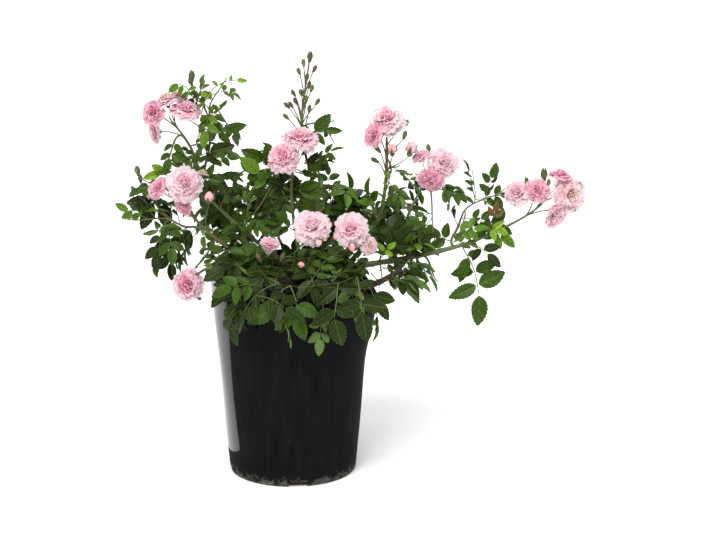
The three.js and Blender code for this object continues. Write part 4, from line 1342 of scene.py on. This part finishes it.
# The trusses, in millimetres from the middle of each. A bloom is (width, place, facing, opening, outer tone,
# inner tone). A bud is (length, place, facing, kind), with kind 0 for tight and 1 for showing colour.
trusses = {
    "upper_left_flowers": (
        [(25, (-16, -8, 3), (-0.35, -0.9, 0.25), 0.62, clear, heart),
         (29, (-3, 2, 14), (-0.3, -0.1, 0.95), 0.66, pale, cream),
         (17, (10, 8, 17), (0.3, -0.3, 0.9), 0.5, blush, clear),
         (30, (18, -4, 6), (0.12, -0.38, 0.92), 0.66, blush, blush),
         (22, (-15, 0, -19), (-0.75, -0.45, -0.1), 0.5, blush, pale)],
        [(12, (24, 0, 41), (0, 0, 1), 0), (9, (35, 0, 33), (0.5, 0, 1), 0),
         (9, (34, 0, -17), (0.2, -0.2, 1), 0), (9, (22, 4, 34), (-0.4, 0, 1), 0)]),
    "left_flowers": (
        [(38, (7, -10, 12), (0.1, -0.93, 0.35), 0.88, pale, blush),
         (23, (-23, 2, 5), (-0.55, -0.5, 0.55), 0.5, clear, blush),
         (11, (25, 2, 21), (0.3, 0, 0.9), 0.6, cream, pale),
         (14, (5, -4, -12), (-0.2, -0.8, -0.2), 0.25, salmon, clear)],
        [(15, (31, 0, -3), (0.1, -0.3, 1), 1), (13, (8, 0, -21), (0.2, -0.6, -0.4), 1),
         (11, (-44, 14, 22), (-0.2, 0, 1), 0), (9, (-41, 12, 14), (-0.1, 0, 1), 0),
         (8, (-49, 14, 2), (-0.6, 0, 1), 0)]),
    "low_left_flower": (
        [(30, (5, -5, 8), (-0.15, -0.93, 0.2), 0.68, blush, heart)],
        [(8, (16, 1, -8), (0.5, -0.2, -0.5), 0)]),
    "centre_flowers": (
        [(33, (-9, -6, -3), (-0.25, -0.8, 0.55), 0.72, blush, clear),
         (37, (9, 9, 14), (0.1, -0.38, 0.92), 0.70, blush, pale)],
        [(10, (-23, 5, -14), (-0.5, -0.3, -0.2), 1), (9, (-17, 5, -20), (-0.2, -0.4, -0.6), 0),
         (10, (-1, 5, -25), (0.1, -0.3, -0.8), 0), (10, (14, 5, 1), (0.5, -0.2, 0.6), 0)]),
    "bud_spire": (
        [],
        [(11, (5, 0, 36), (0.1, 0, 1), 0)] +
        [(8, (x, y, z), (x / 20, y / 12, 1), 0) for x, y, z in
         ((-2, 3, 29), (-7, -2, 21), (10, 2, 23), (2, -3, 15), (4, 4, 6), (7, -2, 3), (-5, 3, -2),
          (-13, -1, -2), (-11, 3, -11), (-20, -2, -15), (-16, 4, -15), (-21, 0, -27), (13, -2, -11),
          (4, 5, -19), (1, -4, -8))]),
    "front_left_flower": (
        [(38, (-2, -5, 5), (-0.05, -0.85, 0.5), 0.9, pale, pale)],
        [(11, (5, -13, -10), (0.2, -0.6, -0.3), 1)]),
    "front_right_flowers": (
        [(36, (-5, -6, 9), (-0.1, -0.85, 0.5), 0.8, pale, blush),
         (20, (14, -7, -8), (0.5, -0.7, 0.1), 0.85, pale, cream)],
        [(11, (-20, -4, 1), (-0.5, -0.6, 0.3), 1), (12, (-4, -14, -8), (0, -0.6, -0.6), 1)]),
    "right_centre_flowers": (
        [(38, (0, -6, 8), (-0.15, -0.7, 0.7), 0.8, pale, blush),
         (24, (-13, -13, -8), (-0.6, -0.55, 0.3), 0.45, clear, clear)],
        [(14, (6, -10, -22), (0, -0.2, 1), 1), (17, (26, -8, -21), (0.3, -0.1, 1), 1),
         (9, (19, -6, -8), (0.3, 0, 1), 0), (10, (20, -3, 3), (0.6, 0, 0.8), 0),
         (9, (-10, -6, -23), (-0.5, 0, 0.6), 0), (9, (-13, -5, -35), (-0.5, 0, 0.3), 0)]),
    "right_flowers": (
        [(17, (-14, -7, 12), (-0.4, -0.4, 0.8), 0.4, blush, clear),
         (34, (10, -12, 7), (0.2, -0.9, 0.35), 0.85, pale, pale),
         (26, (-4, -13, -11), (-0.2, -0.75, -0.25), 0.5, clear, salmon)],
        [(9, (-6, 2, 20), (-0.2, 0.2, 1), 0)]),
    "far_right_flowers": (
        [(29, (-32, -3, 3), (-0.4, -0.75, 0.5), 0.8, pale, blush),
         (22, (-11, -6, 5), (0.1, -0.8, 0.5), 0.35, clear, salmon),
         (38, (24, -3, 0), (0.3, -0.9, 0.1), 0.86, pale, cream),
         (21, (13, 3, 20), (0.15, -0.15, 1), 0.5, clear, clear),
         (24, (7, -6, -20), (0.5, -0.75, -0.3), 0.3, blush, pale)],
        [(13, (-4, 1, 22), (0, 0, 1), 0), (8, (-22, 1, 15), (-0.2, 0, 1), 0),
         (8, (1, 1, 13), (0.2, 0, 1), 0)]),
    "back_flowers": (
        [(30, (6, 3, 2), (0.1, 0.9, 0.4), 0.8, pale, blush),
         (24, (-14, 2, -2), (-0.4, 0.85, 0.2), 0.6, blush, clear)],
        [(12, (17, 0, 6), (0.5, 0.3, 0.8), 1)]),
    "front_left_leaves": (
        [(22, (16, -23, 20), (0.2, -0.3, 0.95), -0.08, blush, clear)],
        [(10, (5, -21, 11), (-0.4, -0.1, 0.9), 0), (10, (30, -23, 12), (0.4, -0.1, 0.9), 0),
         (9, (49, -25, 3), (0.7, -0.6, 0.1), 1)]),
}


pedicel_lines, bud_spots = [], []


def hang_bloom(branch, base, facing, dice):
    """A flower stalk that forks from a truss stem below a bloom or bud and runs up to its back."""
    def strain(spot):
        span = base - spot[0]
        bend = 1 - spot[1].dot(span.normalized())
        return abs(span.length - 26 * MM) + 22 * MM * bend

    start, way = min(branch, key=strain)
    span = (base - start).normalized()
    line = bowed_line(start, way * 0.7 + span * 0.6 + any_way(dice) * 0.1, base,
                      facing.normalized() * 0.55 + span, 3 * MM)
    pedicel_lines.append(tapered(line, 0.8 * MM, 0.55 * MM))


for node, (blooms, buds) in trusses.items():
    dice = random.Random(node)
    low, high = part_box(node)
    middle = (low + high) / 2
    tip = min(cane_tips, key=lambda t: (t[0] - middle).length)
    start, way, radius = (tip if (tip[0] - middle).length < (high - low).length
                          else min(wood, key=lambda w: (w[0] - middle).length - 15 * MM * w[1].dot(up)))
    top = middle + (high - middle) * (0.78 if node == "bud_spire" else -0.1)
    top.x = middle.x + (0.12 * (high.x - low.x) if node == "bud_spire" else 0.0)
    stem = bowed_line(start, way, top, up * 0.4 + (top - start).normalized(), 3 * MM)
    pedicel_lines.append(tapered(stem, radius, 0.9 * MM))
    below = [(p, w) for p, w, _ in wood if (p - start).length < 38 * MM and (p - start).dot(way) <= 0]
    branch = list(zip(stem, headings(stem))) + below
    petals = []
    for width, place, facing, opening, outer, inner in blooms:
        face = Vector(facing).normalized()
        spots, foot = bloom_petals(middle + Vector(place) * MM, face, width * MM, opening, outer, inner,
                                   dice)
        petals += spots
        cup = (4.5 + 0.16 * width) * MM
        bud_spots.append((foot - face * 0.2 * MM, turn_to(face, face.orthogonal()), (cup, cup, cup), 2, 0))
        hang_bloom(branch, foot - face * 0.3 * cup, face, dice)
    for length, place, facing, kind in buds:
        face = Vector(facing).normalized()
        base = middle + Vector(place) * MM - face * 0.4 * length * MM
        size = length * MM * 0.8
        bud_spots.append((base, turn_to(face, face.orthogonal()), (size, size, size), kind,
                          2 if kind == 0 and dice.random() < 0.45 else 0))
        hang_bloom(branch, base - face * 0.28 * size, face, dice)
    if petals:
        name = node.replace("flower", "bloom").replace("leaves", "half_open_bud")
        piece = set_out(name, petals, petal_shapes, *petal_tones)
        finished(piece, "petals", node)

calyces = set_out("buds_and_calyces", bud_spots, bud_shapes, sepal_green, bud_pink, bud_bronze, bud_pink)
finished(calyces, "foliage", "bud_spire")
pedicels = made_by(sweep_tree, "flower_stalks", line_mesh("flower_stalks", pedicel_lines), Sides=6,
                   Finish=pedicel_rind)
finished(pedicels, "green_cane")
